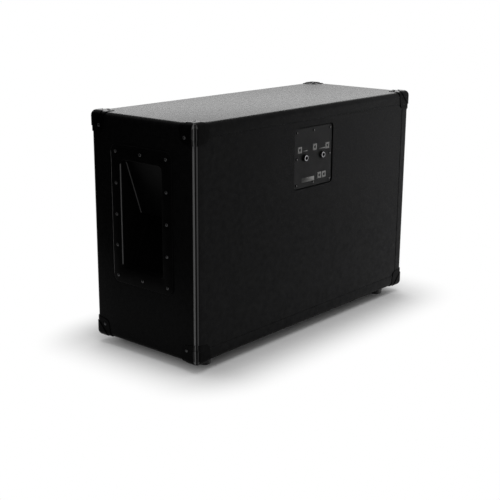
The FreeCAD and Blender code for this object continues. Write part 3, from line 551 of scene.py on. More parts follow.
class Shape:
    """A mesh in the making, with the operators that the pieces share."""

    def __init__(self) -> None:
        """Starts an empty mesh."""
        self.bm = bmesh.new()

    def shift(self, verts: Iterable[BMVert], by: Point) -> None:
        """Moves some points."""
        bmesh.ops.translate(self.bm, vec=by, verts=list(verts))

    def merge(self, gap: float = NEAR) -> None:
        """Merges points that lie within a gap."""
        bmesh.ops.remove_doubles(self.bm, verts=self.bm.verts[:], dist=gap)

    def drop(self, faces: Sequence[BMFace], context: str = "FACES_ONLY") -> None:
        """Deletes faces, and with the context FACES also the edges that only they have."""
        bmesh.ops.delete(self.bm, geom=faces, context=context)

    def outward(self) -> None:
        """Makes the faces agree on which side is the outside."""
        bmesh.ops.recalc_face_normals(self.bm, faces=self.bm.faces[:])

    def flip(self) -> None:
        """Turns every face over."""
        bmesh.ops.reverse_faces(self.bm, faces=self.bm.faces[:])

    def bridge(self, edges: Sequence[BMEdge]) -> None:
        """Fills the band between two rings of edges."""
        bmesh.ops.bridge_loops(self.bm, edges=edges)

    def fill(self, edges: Sequence[BMEdge]) -> None:
        """Fills a flat outline, except for the holes in it."""
        bmesh.ops.triangle_fill(self.bm, edges=edges, use_beauty=True)

    def inset(self, face: BMFace, border: float, rise: float = 0.0) -> None:
        """Draws a border inside a face.

        Args:
            face: the face.
            border: the border's width.
            rise: how far the rest of the face then rises.
        """
        bmesh.ops.inset_region(
            self.bm, faces=[face], thickness=border, depth=rise, use_even_offset=True
        )

    def bevel(
        self, geom: Sequence[BMEdge | BMVert], size: float, steps: int, affect: str = "EDGES"
    ) -> None:
        """Rounds edges or corners.

        Args:
            geom: the edges, or the points of an outline.
            size: the radius.
            steps: flats to a round.
            affect: EDGES, or VERTICES for the points of an outline.
        """
        bmesh.ops.bevel(
            self.bm, geom=geom, offset=size, offset_type="OFFSET", segments=steps, profile=0.5,
            affect=affect, material=-1, clamp_overlap=True,
        )

    def block(self, low: Point, high: Point) -> None:
        """A box between its lowest and its highest corner."""
        size, middle = Vector(high) - Vector(low), (Vector(high) + Vector(low)) / 2
        bmesh.ops.create_cube(self.bm, size=1.0, matrix=Matrix.LocRotScale(middle, None, size))

    def rectangle(
        self, width: float, height: float, radius: float,
        middle: tuple[float, float] = (0.0, 0.0), filled: bool = False,
    ) -> list[BMEdge]:
        """A flat rectangle with round corners.

        Args:
            width: its size along X.
            height: its size along Y.
            radius: the corners' radius.
            middle: its middle.
            filled: whether it keeps its face.

        Returns:
            Its edges.
        """
        before = set(self.bm.faces)
        made = bmesh.ops.create_grid(self.bm, x_segments=1, y_segments=1, size=0.5)["verts"]
        bmesh.ops.scale(self.bm, vec=(width, height, 1.0), verts=made)
        self.shift(made, (*middle, 0.0))
        self.bevel(made, radius, CORNER_STEPS, "VERTICES")
        face = next(face for face in self.bm.faces if face not in before)
        edges = list(face.edges)
        if not filled:
            self.drop([face])
        return edges

    def circle(
        self, radius: float, steps: int, middle: Point = (0.0, 0.0, 0.0)
    ) -> list[BMEdge]:
        """A flat ring of edges.

        Args:
            radius: its radius.
            steps: its edges.
            middle: its middle.

        Returns:
            The edges.
        """
        made = bmesh.ops.create_circle(self.bm, cap_ends=False, radius=radius, segments=steps)
        self.shift(made["verts"], middle)
        return list({edge for vert in made["verts"] for edge in vert.link_edges})

    def extrude(
        self, faces: Sequence[BMFace], by: Point = (0.0, 0.0, 0.0), keep: bool = False
    ) -> list[BMFace]:
        """Pulls faces out with walls behind them.

        Args:
            faces: the faces.
            by: how far.
            keep: whether they also stay where they were.

        Returns:
            The faces that moved.
        """
        made = bmesh.ops.extrude_face_region(self.bm, geom=faces)["geom"]
        self.shift(only(BMVert, made), by)
        if not keep:
            self.drop([face for face in faces if face.is_valid])
        return only(BMFace, made)

    def extend(self, edges: Sequence[BMEdge], by: Point) -> list[BMEdge]:
        """Pulls a wall out of a ring of edges.

        Args:
            edges: the ring.
            by: how far.

        Returns:
            The edges made.
        """
        made = bmesh.ops.extrude_edge_only(self.bm, edges=edges)["geom"]
        self.shift(only(BMVert, made), by)
        return only(BMEdge, made)

    def split(self, faces: Sequence[BMFace], way: Vector, at: float) -> list[BMFace]:
        """Cuts faces along a plane.

        Args:
            faces: the faces.
            way: the way that the plane looks.
            at: how far it stands from the origin that way.

        Returns:
            The faces on both sides of the cut.
        """
        edges = {edge for face in faces for edge in face.edges}
        verts = {vert for face in faces for vert in face.verts}
        cut = bmesh.ops.bisect_plane(
            self.bm, geom=[*faces, *edges, *verts], dist=CUT, plane_co=way * at, plane_no=way
        )
        return only(BMFace, cut["geom"])

    def facing(self, way: Point) -> BMFace:
        """The largest face that looks one way."""
        self.bm.normal_update()
        return max(self.bm.faces, key=lambda f: (f.normal.dot(way) > FACING) * f.calc_area())

    def edges(self, faces: int) -> list[BMEdge]:
        """The edges with so many faces beside them."""
        return [edge for edge in self.bm.edges if len(edge.link_faces) == faces]

    def sharp(self, degrees: float) -> list[BMEdge]:
        """The edges between two faces that meet at more than an angle."""
        self.bm.normal_update()
        return [e for e in self.edges(2) if e.calc_face_angle(0.0) > math.radians(degrees)]

    def turn(
        self, section: Section, steps: int, soft: float = 0.0, closed: bool = False
    ) -> "Shape":
        """Spins a section round the Z axis.

        Args:
            section: points as a radius and a height.
            steps: faces round the axis.
            soft: the radius of the section's corners.
            closed: whether the last point joins the first.

        Returns:
            The shape.
        """
        verts = [self.bm.verts.new((radius, 0.0, height)) for radius, height in section]
        ends = verts[1:] + verts[:1] if closed else verts[1:]
        for pair in zip(verts, ends):
            self.bm.edges.new(pair)
        if soft > 0:
            corners = [vert for vert in verts if len(vert.link_edges) == 2]
            self.bevel(corners, soft, TURNED_STEPS, "VERTICES")
        verts = list({vert for edge in self.bm.edges for vert in edge.verts})
        bmesh.ops.spin(
            self.bm, geom=verts + self.bm.edges[:], cent=(0, 0, 0), axis=UP, dvec=(0, 0, 0),
            angle=2 * math.pi, steps=steps, use_merge=True, use_duplicate=False,
        )
        return self.join()

    def join(self) -> "Shape":
        """Merges doubles and turns the faces outwards.

        Returns:
            The shape.
        """
        self.merge()
        bmesh.ops.dissolve_degenerate(self.bm, edges=self.bm.edges[:], dist=CUT)
        self.outward()
        return self

    def look(self, way: Point) -> "Shape":
        """Turns an open skin over if the faces that suit a way best look against it.

        Args:
            way: the way to look.

        Returns:
            The shape.
        """
        self.outward()
        best = max(self.bm.faces, key=lambda f: f.calc_area() * abs(f.normal.dot(way)) ** AIM_POWER)
        if best.normal.dot(way) < 0:
            self.flip()
        return self

    def place(self, matrix: Matrix) -> "Shape":
        """Moves the whole shape, and returns it."""
        bmesh.ops.transform(self.bm, matrix=matrix, verts=self.bm.verts[:])
        return self

    def add(self, other: "Shape") -> None:
        """Takes in another shape and ends it.

        Args:
            other: the other shape.
        """
        mesh = bpy.data.meshes.new("joined")
        other.bm.to_mesh(mesh)
        other.bm.free()
        self.bm.from_mesh(mesh)
        bpy.data.meshes.remove(mesh)

    def piece(
        self, name: str, finish: Finish, smooth: float = 40.0, thick: float = 0.0,
        outside: bool = False,
    ) -> Object:
        """Ends the shape as an object at the origin.

        Args:
            name: the piece's name.
            finish: its finish.
            smooth: the angle in degrees up to which faces are shaded as one.
            thick: the thickness of a skin's wall.
            outside: whether that wall stands in front of the faces, not behind them.

        Returns:
            The object.
        """
        mesh = bpy.data.meshes.new(name)
        self.bm.to_mesh(mesh)
        self.bm.free()
        mesh.shade_smooth()
        mesh.set_sharp_from_angle(angle=math.radians(smooth))
        mesh.materials.append(finish.material())
        made = show(name, mesh)
        if thick > 0:
            wall = made.modifiers.new("wall", "SOLIDIFY")
            wall.thickness = thick
            wall.offset = 1.0 if outside else -1.0
            wall.use_even_offset = True
        return made


def ease(piece: Object, radius: float, steps: int = EASED_STEPS, angle: float = 40.0) -> None:
    """Rounds the sharp edges of a piece a little.

    Args:
        piece: the piece.
        radius: the radius of the rounds.
        steps: flats to a round.
        angle: the angle in degrees above which an edge is sharp.
    """
    soft = piece.modifiers.new("ease", "BEVEL")
    soft.width = radius
    soft.segments = steps
    soft.profile = 0.5
    soft.limit_method = "ANGLE"
    soft.angle_limit = math.radians(angle)
    soft.harden_normals = True


def settle(piece: Object, finish: Finish, *nodes: str, body: str = "cabinet") -> None:
    """Puts a finished piece on its body in place of its solids.

    Args:
        piece: the finished piece.
        finish: its finish; not used.
        nodes: the nodes that it replaces.
        body: the body that it rides on.
    """
    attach(piece, body)
    if nodes:
        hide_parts(*nodes)
    LOG.info("%s on %s for %s", piece.name, body, ", ".join(nodes) or "no solid")


def dress(node: str, finish: Finish, radius: float = 0.0) -> None:
    """Gives a kept solid its finish and eased edges.

    Args:
        node: the solid's node.
        finish: its finish.
        radius: the radius that its edges are eased by.
    """
    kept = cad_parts[node]
    kept.data.materials.clear()
    kept.data.materials.append(finish.material())
    if radius > 0:
        kept.modifiers.new("weld", "WELD").merge_threshold = NEAR
        ease(kept, radius, angle=50.0)
    LOG.info("%s keeps its solid in %s", node, finish.name)


@dataclass(frozen=True)
class EdgeHighlight:
    """Highlights painted along both flanks of the cabinet's upright edges, the edge by the right
    jack most.

    The flanks are in degrees round the edge, from the side to the front or rear. Shares say how
    much is left of the painted highlight on the three other edges, on the second flank, and further
    from the edge's middle than its core.
    """
    box: Box = BOX
    flanks: Section = ((15.0, 40.0), (50.0, 75.0))
    ridge: float = 45.0
    core: float = 17.0
    spread: float = 1.0
    other_edges: float = 0.45
    second_flank: float = 0.6

    def mark(self, piece: Object) -> None:
        """Marks the points of a piece where highlights are painted.

        Args:
            piece: the piece, which goes round the edges.
        """
        highlight_mask = piece.data.attributes.new("highlight_mask", "FLOAT", "POINT")
        for mark, vert in zip(highlight_mask.data, piece.data.vertices):
            mark.value = self.share(vert.co)

    def share(self, at: Vector) -> float:
        """How much painted highlight one point gets.

        Args:
            at: the point.

        Returns:
            A share from 0 to 1.
        """
        over_x = abs(at.x) - self.box.half_width + self.box.edge
        over_y = abs(at.y) - self.box.rear + self.box.edge
        if min(over_x, over_y) <= NEAR:
            return 0.0
        turn = math.degrees(math.atan2(over_y, over_x))
        first, second = (low < turn < high for low, high in self.flanks)
        share = 1.0 if min(at.x, at.y) > 0 else self.other_edges
        share *= self.spread if abs(turn - self.ridge) > self.core else 1.0
        return share * (1.0 if first else self.second_flank if second else 0.0)


@dataclass
class Covering:
    """The vinyl round the carcass and the sheet on its rear."""
    box: Box = BOX
    skin: float = 0.0008
    fold: float = 0.0004
    seam: float = 0.028
    seam_gap: float = 0.0002
    mouth_depth: float = 0.026
    window_across: tuple[float, float] = (-0.084, 0.084)
    window_up: tuple[float, float] = (0.163, 0.453)
    sheet_corner: float = 0.003
    sheet_edge: float = 0.0002
    rebate: tuple[float, float] = (0.142, 0.138)
    rebate_corner: float = 0.010

    def build(self) -> None:
        """Builds both coverings."""
        self.wrap()
        self.rear_sheet()

    def wrap(self) -> None:
        """Wraps the carcass, into the mouth at the front and up to the seam at the rear."""
        box = self.box
        shape = Shape()
        shape.block((-box.half_width, -box.rear, box.floor), (box.half_width, box.rear, box.top))
        shape.bevel(shape.bm.edges[:], box.edge, box.edge_steps)
        for side in Side:
            self.cut_window(shape, side)
        back = shape.facing((0, 1, 0))
        shape.inset(back, self.seam - box.edge)
        shape.drop([back])
        opening = shape.facing((0, -1, 0))
        shape.inset(opening, box.mouth - box.edge)
        shape.drop(shape.extrude([opening], (0.0, self.mouth_depth, 0.0)))
        shape.look((0, 0, 1))
        piece = shape.piece("cabinet_covering", BLACK_VINYL, thick=self.skin)
        # Paints highlight lines along the flanks of the upright edges.
        EdgeHighlight().mark(piece)
        ease(piece, self.fold)
        settle(piece, BLACK_VINYL, "shell_covering")

    def cut_window(self, shape: Shape, side: Side) -> None:
        """Opens one side under the handle's flange.

        Args:
            shape: the wrapped carcass.
            side: the side.
        """
        faces = [shape.facing((side.value, 0, 0))]
        for axis, ends in ((1, self.window_across), (2, self.window_up)):
            for at in ends:
                faces = shape.split(faces, unit(axis), at)
        middle = Vector((sum(self.window_across) / 2, sum(self.window_up) / 2))
        gone = min(faces, key=lambda face: (face.calc_center_median().yz - middle).length)
        shape.drop([gone], "FACES")

    def rear_sheet(self) -> None:
        """Lays the sheet on the rear, with its opening for the jack plate."""
        box = self.box
        inset = self.seam + self.seam_gap
        width, height = 2 * (box.half_width - inset), box.top - box.floor - 2 * inset
        middle = (box.top + box.floor) / 2
        hole = (0.0, box.plate_middle - middle)
        shape = Shape()
        outer = shape.rectangle(width, height, self.sheet_corner)
        shape.bridge(outer + shape.rectangle(*self.rebate, self.rebate_corner, hole))
        shape.place(rear_face(0.0, box.rear, middle)).look((0, 1, 0))
        piece = shape.piece("rear_sheet", BLACK_VINYL, thick=self.skin)
        ease(piece, self.sheet_edge)
        settle(piece, BLACK_VINYL, "rear_covering")


@dataclass
class SideHandle:
    """A moulded handle let into one side, with a slanted grip over a finger pocket.

    The hollow's points are a depth behind the flange's face and a height. The last fields say where
    highlights are painted on as paler plastic: strips beside the rim and the recess's lip, no
    deeper than the face, and the grip.
    """
    side: Side
    face: float = BOX.handle_face
    flange: float = 0.0035
    width: float = 0.180
    height: float = 0.302
    middle: float = 0.308
    corner: float = 0.016
    recess_width: float = 0.121
    recess_corner: float = 0.009
    thick: float = 0.0012
    lip: float = 0.0017
    lip_steps: int = 4
    bend: float = 0.0016
    bend_steps: int = 3
    seam: float = 1e-5
    hollow: Section = (
        (0.0, 0.4265), (0.015, 0.4265), (0.057, 0.3035), (0.0608, 0.3035), (0.0461, 0.3465),
        (0.088, 0.3465), (0.088, 0.2805), (0.066, 0.2665), (0.031, 0.1895), (0.0, 0.1895),
    )
    highlight_strip: float = 0.0019
    highlight_span: float = 0.004
    highlight_depth: float = 0.002
    highlight_end: float = 0.001
    highlight_grip: float = 0.005
    highlight_shares: tuple[float, float, float] = (1.0, 0.65, 0.55)
    highlight_rear: float = 0.2
    highlight_left: float = 0.55

    def build(self) -> None:
        """Builds the moulding in its side of the cabinet."""
        shape = Shape()
        self.form_hollow(shape)
        self.form_flange(shape)
        shape.look((1, 0, 0))
        if self.side is Side.LEFT:
            shape.place(Matrix.Diagonal((-1, 1, 1, 1)))
            shape.flip()
        node = self.side.word + "_handle"
        piece = shape.piece(node + "_moulding", BLACK_PLASTIC, 50.0, self.thick)
        # Marks each face's share of the painted highlight lines.
        highlight_mask = piece.data.attributes.new("highlight_mask", "FLOAT", "FACE")
        for mark, face in zip(highlight_mask.data, piece.data.polygons):
            mark.value = self.highlight_at([piece.data.vertices[i].co for i in face.vertices])
        settle(piece, BLACK_PLASTIC, node)

    def highlight_at(self, corners: Sequence[Vector]) -> float:
        """How much painted highlight one face gets.

        Args:
            corners: the face's corners.

        Returns:
            A share from 0 to 1.
        """
        across = [corner.y for corner in corners]
        if max(across) - min(across) >= self.highlight_span:
            return 0.0
        depths = [self.face - abs(corner.x) for corner in corners]
        rise = max(abs(corner.z - self.middle) for corner in corners)
        on_face = max(depths) < self.highlight_depth
        in_rim, in_lip = (
            all(abs(abs(y) - wide / 2) < self.highlight_strip for y in across)
            for wide in (self.width, self.recess_width)
        )
        recess_end = self.hollow[0][1] - self.middle - self.recess_corner
        places = (
            on_face and in_rim and rise < self.height / 2 - self.corner + self.highlight_end,
            on_face and in_lip and rise < recess_end + self.highlight_end,
            in_lip and self.on_grip(depths, corners),
        )
        share = max(share * place for share, place in zip(self.highlight_shares, places))
        share *= 1.0 if across[0] < 0 else self.highlight_rear
        return share * (1.0 if self.side is Side.RIGHT else self.highlight_left)

    def on_grip(self, depths: Sequence[float], corners: Sequence[Vector]) -> bool:
        """Whether a face lies along the slanted grip.

        Args:
            depths: how far each of its corners lies behind the flange's face.
            corners: its corners.

        Returns:
            Whether all of them lie there.
        """
        (top_depth, top), (tip_depth, tip) = self.hollow[1:3]
        slope = (top - tip) / (tip_depth - top_depth)
        slants = [top - (depth - top_depth) * slope for depth in depths]
        near = all(abs(c.z - slant) < self.highlight_grip for c, slant in zip(corners, slants))
        return near and min(depths) > top_depth

    def in_face(self, item: BMEdge | BMFace) -> bool:
        """Whether an edge or a face lies in the flange's face."""
        return all(abs(vert.co.x - self.face) < NEAR for vert in item.verts)

    def at_corner(self, edge: BMEdge) -> bool:
        """Whether an edge runs in from a corner of the recess's mouth.

        Args:
            edge: the edge.

        Returns:
            Whether it does.
        """
        low, high, half = self.hollow[-1][1], self.hollow[0][1], self.recess_width / 2
        first, second = edge.verts
        return abs(first.co.x - second.co.x) > self.recess_corner and all(
            abs(abs(vert.co.y) - half) < NEAR
            and min(abs(vert.co.z - low), abs(vert.co.z - high)) < NEAR
            for vert in edge.verts
        )

    def form_hollow(self, shape: Shape) -> None:
        """Extrudes the hollow's profile across the recess and rounds it inside.

        Args:
            shape: the moulding.
        """
        start = -self.recess_width / 2
        points = [(self.face - depth, start, height) for depth, height in self.hollow]
        profile = shape.bm.faces.new([shape.bm.verts.new(point) for point in points])
        shape.extrude([profile], (0.0, self.recess_width, 0.0), keep=True)
        shape.outward()
        shape.drop([face for face in shape.bm.faces if self.in_face(face)])
        corners = [edge for edge in shape.bm.edges if self.at_corner(edge)]
        shape.bevel(corners, self.recess_corner, CORNER_STEPS)
        shape.bevel(shape.sharp(25.0), self.bend, self.bend_steps)

    def form_flange(self, shape: Shape) -> None:
        """Joins the flange to the recess's mouth and rounds its rim and the mouth.

        Args:
            shape: the moulding with its hollow.
        """
        recess_height = self.hollow[0][1] - self.hollow[-1][1]
        plate = Shape()
        rim = plate.rectangle(self.width, self.height, self.corner)
        plate.bridge(rim + plate.rectangle(self.recess_width, recess_height, self.recess_corner))
        place = axes((0, 1, 0), (0, 0, 1), (1, 0, 0), (self.face, 0.0, self.middle))
        shape.add(plate.place(place))
        shape.merge(self.seam)
        shape.extend(shape.edges(1), (-self.flange, 0.0, 0.0))
        shape.outward()
        lips = [edge for edge in shape.sharp(45.0) if self.in_face(edge)]
        shape.bevel(lips, self.lip, self.lip_steps)


@dataclass
class CornerProtectors:
    """Eight moulded corners, each of three lobed flaps under a raised cap."""
    box: Box = BOX
    leg: float = 0.042
    leg_end: float = 0.009
    lobe: float = 0.012
    lobe_start: float = 6.0
    lobe_steps: int = 6
    seat: float = 0.0002
    flap: float = 0.0018
    rim: float = 0.0006
    cap: float = 0.0016
    cap_reach: float = 0.034
    highlight_spread: float = 0.45

    def build(self) -> None:
        """Builds the front four and the rear four."""
        levels = ((-1, self.box.floor), (1, self.box.top))
        for end, way in (("front", -1), ("rear", 1)):
            group = Shape()
            for side, (level, height) in product(Side, levels):
                at = (side.value * self.box.half_width, way * self.box.rear, height)
                mirror = Matrix.Diagonal((-side.value, -way, -level, 1.0))
                corner = self.corner(front=way < 0).place(Matrix.Translation(at) @ mirror)
                if side.value * way * level > 0:
                    corner.flip()
                group.add(corner)
            name = end + "_corner_mouldings"
            piece = group.piece(name, CORNER_PLASTIC, 35.0, self.flap, outside=True)
            # Carries the cabinet's painted edge highlights over the corners.
            EdgeHighlight(spread=self.highlight_spread).mark(piece)
            ease(piece, self.rim, angle=35.0)
            settle(piece, CORNER_PLASTIC, end + "_corner_protectors")

    def outline(self) -> list[tuple[float, float]]:
        """One flap's outline from one leg's end to the other's, round the screw's lobe.

        Returns:
            Its points, without the cabinet's corner.
        """
        start = math.radians(self.lobe_start)
        step = (math.pi / 2 - 2 * start) / self.lobe_steps
        turns = [start + step * i for i in range(self.lobe_steps + 1)]
        screw, lobe = self.box.corner_screw, self.lobe
        points = [(screw + lobe * math.cos(t), screw + lobe * math.sin(t)) for t in turns]
        leg, end = self.leg, self.leg_end
        return [(leg, 0.0), (leg, end), *points, (end, leg), (0.0, leg)]

    def corner(self, front: bool) -> Shape:
        """One corner over the positive side of each axis, its faces looking off the cabinet.

        Args:
            front: whether it is trimmed to the cabinet's mouth.

        Returns:
            The corner's skin, as it sits on the covering.
        """
        shape = Shape()
        flat = [(0.0, 0.0), *self.outline()]
        for axis in range(3):
            across, along = unit(axis), unit((axis + 1) % 3)
            shape.bm.faces.new([shape.bm.verts.new(across * a + along * b) for a, b in flat])
        shape.merge()
        shape.bevel(shape.edges(2), self.box.edge, self.box.edge_steps)
        if front:
            self.trim(shape)
        self.raise_cap(shape)
        self.face_out(shape)
        shape.bm.normal_update()
        for vert in shape.bm.verts:
            vert.co += vert.normal * self.seat
        return shape

    @staticmethod
    def face_out(shape: Shape) -> None:
        """Turns a corner's faces off the cabinet.

        Args:
            shape: the corner.
        """
        shape.outward()
        if sum(max(shape.bm.faces, key=lambda face: face.calc_area()).normal) > 0:
            shape.flip()

    def trim(self, shape: Shape) -> None:
        """Cuts the front flap off at the mouth.

        Args:
            shape: the corner.
        """
        for axis in (0, 2):
            shape.split(self.front_flap(shape), unit(axis), self.box.mouth)
        flap = self.front_flap(shape)
        gone = [face for face in flap if min(face.calc_center_median().xz) > self.box.mouth]
        shape.drop(gone, "FACES")

    @staticmethod
    def front_flap(shape: Shape) -> list[BMFace]:
        """The faces that lie flat on the cabinet's front."""
        return [f for f in shape.bm.faces if all(abs(vert.co.y) < NEAR for vert in f.verts)]

    def raise_cap(self, shape: Shape) -> None:
        """Raises the middle of the corner as a cap with a clear step.

        Args:
            shape: the corner.
        """
        way = Vector((1.0, 1.0, 1.0)).normalized()
        reach = self.cap_reach / math.sqrt(3.0)
        shape.split(shape.bm.faces[:], way, reach)
        cap = [face for face in shape.bm.faces if face.calc_center_median().dot(way) < reach]
        self.face_out(shape)
        raised = set(shape.extrude(cap))
        shape.bm.normal_update()
        verts = {vert for face in raised for vert in face.verts}
        for vert, out in [(vert, self.way_out(vert, raised)) for vert in verts]:
            vert.co += out * self.cap

    @staticmethod
    def way_out(vert: BMVert, cap: set[BMFace]) -> Vector:
        """The way out of the cap at one of its points, from the cap's own faces alone."""
        faces = [face for face in vert.link_faces if face in cap]
        return sum((face.normal * face.calc_area() for face in faces), Vector()).normalized()


@dataclass(frozen=True)
class ScrewHead:
    """A pan-headed screw with a cross recess.

    The recess and the dome are in shares of the head's radius and height.
    """
    radius: float
    height: float
    shank: float
    length: float
    slot: float = 0.13
    reach: float = 0.46
    recess: float = 0.55
    glint_reach: float = 0.74
    sides: int = 12
    dome: Section = ((0.72, 0.9), (0.95, 0.5), (1.0, 0.12), (1.0, 0.0))

    def shape(self) -> Shape:
        """One screw standing on the origin, its head up.

        Returns:
            The screw.
        """
        shape = Shape()
        slot, reach = self.radius * self.slot, self.radius * self.reach
        # The grid's lines lie one and three units from its middle.
        grid = bmesh.ops.create_grid(shape.bm, x_segments=3, y_segments=3, size=3.0)["verts"]
        for vert in grid:
            x, y = (math.copysign(reach if abs(at) > 2.0 else slot, at) for at in vert.co.xy)
            vert.co = (x, y, self.height)
        cross = [f for f in shape.bm.faces if min(map(abs, f.calc_center_median().xy)) < slot]
        shape.extrude(cross, (0.0, 0.0, -self.height * self.recess))
        rim = shape.edges(1)
        rings = [(self.radius * wide, self.height * tall) for wide, tall in self.dome]
        for radius, height in [*rings, (self.shank, 0.0)]:
            circle = shape.circle(radius, self.sides, (0.0, 0.0, height))
            shape.bridge(rim + circle)
            rim = circle
        end = shape.extend(rim, (0.0, 0.0, self.height - self.length))
        bmesh.ops.contextual_create(shape.bm, geom=end)
        return shape.join()


@dataclass
class Fasteners:
    """Every screw and bolt that shows, in the groups of its nodes, each turned its own way."""
    box: Box = BOX
    handle: ScrewHead = ScrewHead(0.0036, 0.0020, 0.0017, 0.016)
    corner: ScrewHead = ScrewHead(0.0036, 0.0018, 0.0017, 0.014)
    plate: ScrewHead = ScrewHead(0.0032, 0.0016, 0.0015, 0.012)
    foot: ScrewHead = ScrewHead(0.0060, 0.0030, 0.0022, 0.022)
    bolt: ScrewHead = ScrewHead(0.0046, 0.0030, 0.0024, 0.020)
    handle_columns: tuple[float, ...] = (-0.0745, 0.0745)
    handle_rows: tuple[float, ...] = (0.1725, 0.24025, 0.308, 0.37575, 0.4435)
    corner_rise: float = 0.002
    plate_columns: tuple[float, ...] = (-0.061, 0.0, 0.061)
    plate_rows: tuple[float, ...] = (-0.059, 0.0, 0.059)
    bolt_reach: float = 0.1485 * math.sqrt(0.5)
    bolt_face: float = -0.1285
    first_turn: float = 0.3
    next_turn: float = 0.9

    def build(self) -> None:
        """Builds each group at its seats."""
        self.group("handle_screw", self.handle, self.handle_seats(), "handle_screws")
        self.group("corner_screw", self.corner, self.corner_seats(), "corner_screws")
        self.group("plate_screw", self.plate, self.plate_seats(), "jack_plate_screws", PLATE_SCREW)
        self.group("foot_screw", self.foot, self.foot_seats(), "foot_screws")
        self.group("driver_bolt", self.bolt, self.bolt_seats(), "driver_bolts")

    def group(
        self, name: str, head: ScrewHead, seats: Seats, node: str, finish: Finish = SCREW_STEEL
    ) -> None:
        """Sets one kind of screw at each seat and marks its recess, which a finish with painted
        highlights paints pale as a glint.

        Args:
            name: the start of the group's name.
            head: the screw.
            seats: where each head sits and the way that it looks.
            node: the node that the group replaces.
            finish: the screws' finish.
        """
        made = Shape()
        for index, (seat, way) in enumerate(seats):
            turn = UP.rotation_difference(Vector(way)).to_matrix().to_4x4()
            spin = Matrix.Rotation(self.next_turn * index + self.first_turn, 4, "Z")
            made.add(head.shape().place(Matrix.Translation(seat) @ turn @ spin))
        piece = made.piece(name + "_heads", finish, smooth=32.0)
        # Marks each recess for a painted glint.
        highlight_mask = piece.data.attributes.new("highlight_mask", "FLOAT", "FACE")
        for mark, face in zip(highlight_mask.data, piece.data.polygons):
            near = min((face.center - Vector(seat)).length for seat, _ in seats)
            mark.value = float(near < head.radius * head.glint_reach)
        settle(piece, finish, node)

    def handle_seats(self) -> Seats:
        """Twelve seats on each handle's flange.

        Returns:
            The seats.
        """
        face, rows = self.box.handle_face, self.handle_rows
        spots = [*product(self.handle_columns, rows), (0.0, rows[0]), (0.0, rows[-1])]
        return [((s.value * face, y, z), (s.value, 0, 0)) for s in Side for y, z in spots]

    def corner_seats(self) -> Seats:
        """One seat on the side and one on the top or bottom of each corner.

        Returns:
            The seats.
        """
        box, seats = self.box, []
        levels = ((box.floor, -1), (box.top, 1))
        for side, end, (edge, way) in product(Side, (-1, 1), levels):
            out, y = side.value, end * (box.rear - box.corner_screw)
            at_side = (out * (box.half_width + self.corner_rise), y, edge - way * box.corner_screw)
            at_edge = (out * (box.half_width - box.corner_screw), y, edge + way * self.corner_rise)
            seats += [(at_side, (out, 0, 0)), (at_edge, (0, 0, way))]
        return seats

    def plate_seats(self) -> Seats:
        """Eight seats round the jack plate."""
        spots = [(x, z) for x, z in product(self.plate_columns, self.plate_rows) if x or z]
        return [((x, self.box.plate_face, self.box.plate_middle + z), (0, 1, 0)) for x, z in spots]

    def foot_seats(self) -> Seats:
        """One seat up inside each foot."""
        x, y, z = self.box.foot_x, self.box.foot_y, self.box.foot_well
        return [((a * x, b * y, z), (0, 0, -1)) for a, b in product((-1, 1), (-1, 1))]

    def bolt_seats(self) -> Seats:
        """Four seats on each driver's flange.

        Returns:
            The seats.
        """
        offsets = (-self.bolt_reach, self.bolt_reach)
        driver, middle, face = self.box.driver_x, self.box.driver_middle, self.bolt_face
        return [
            ((side.value * driver + x, face, middle + z), (0, -1, 0))
            for side, x, z in product(Side, offsets, offsets)
        ]


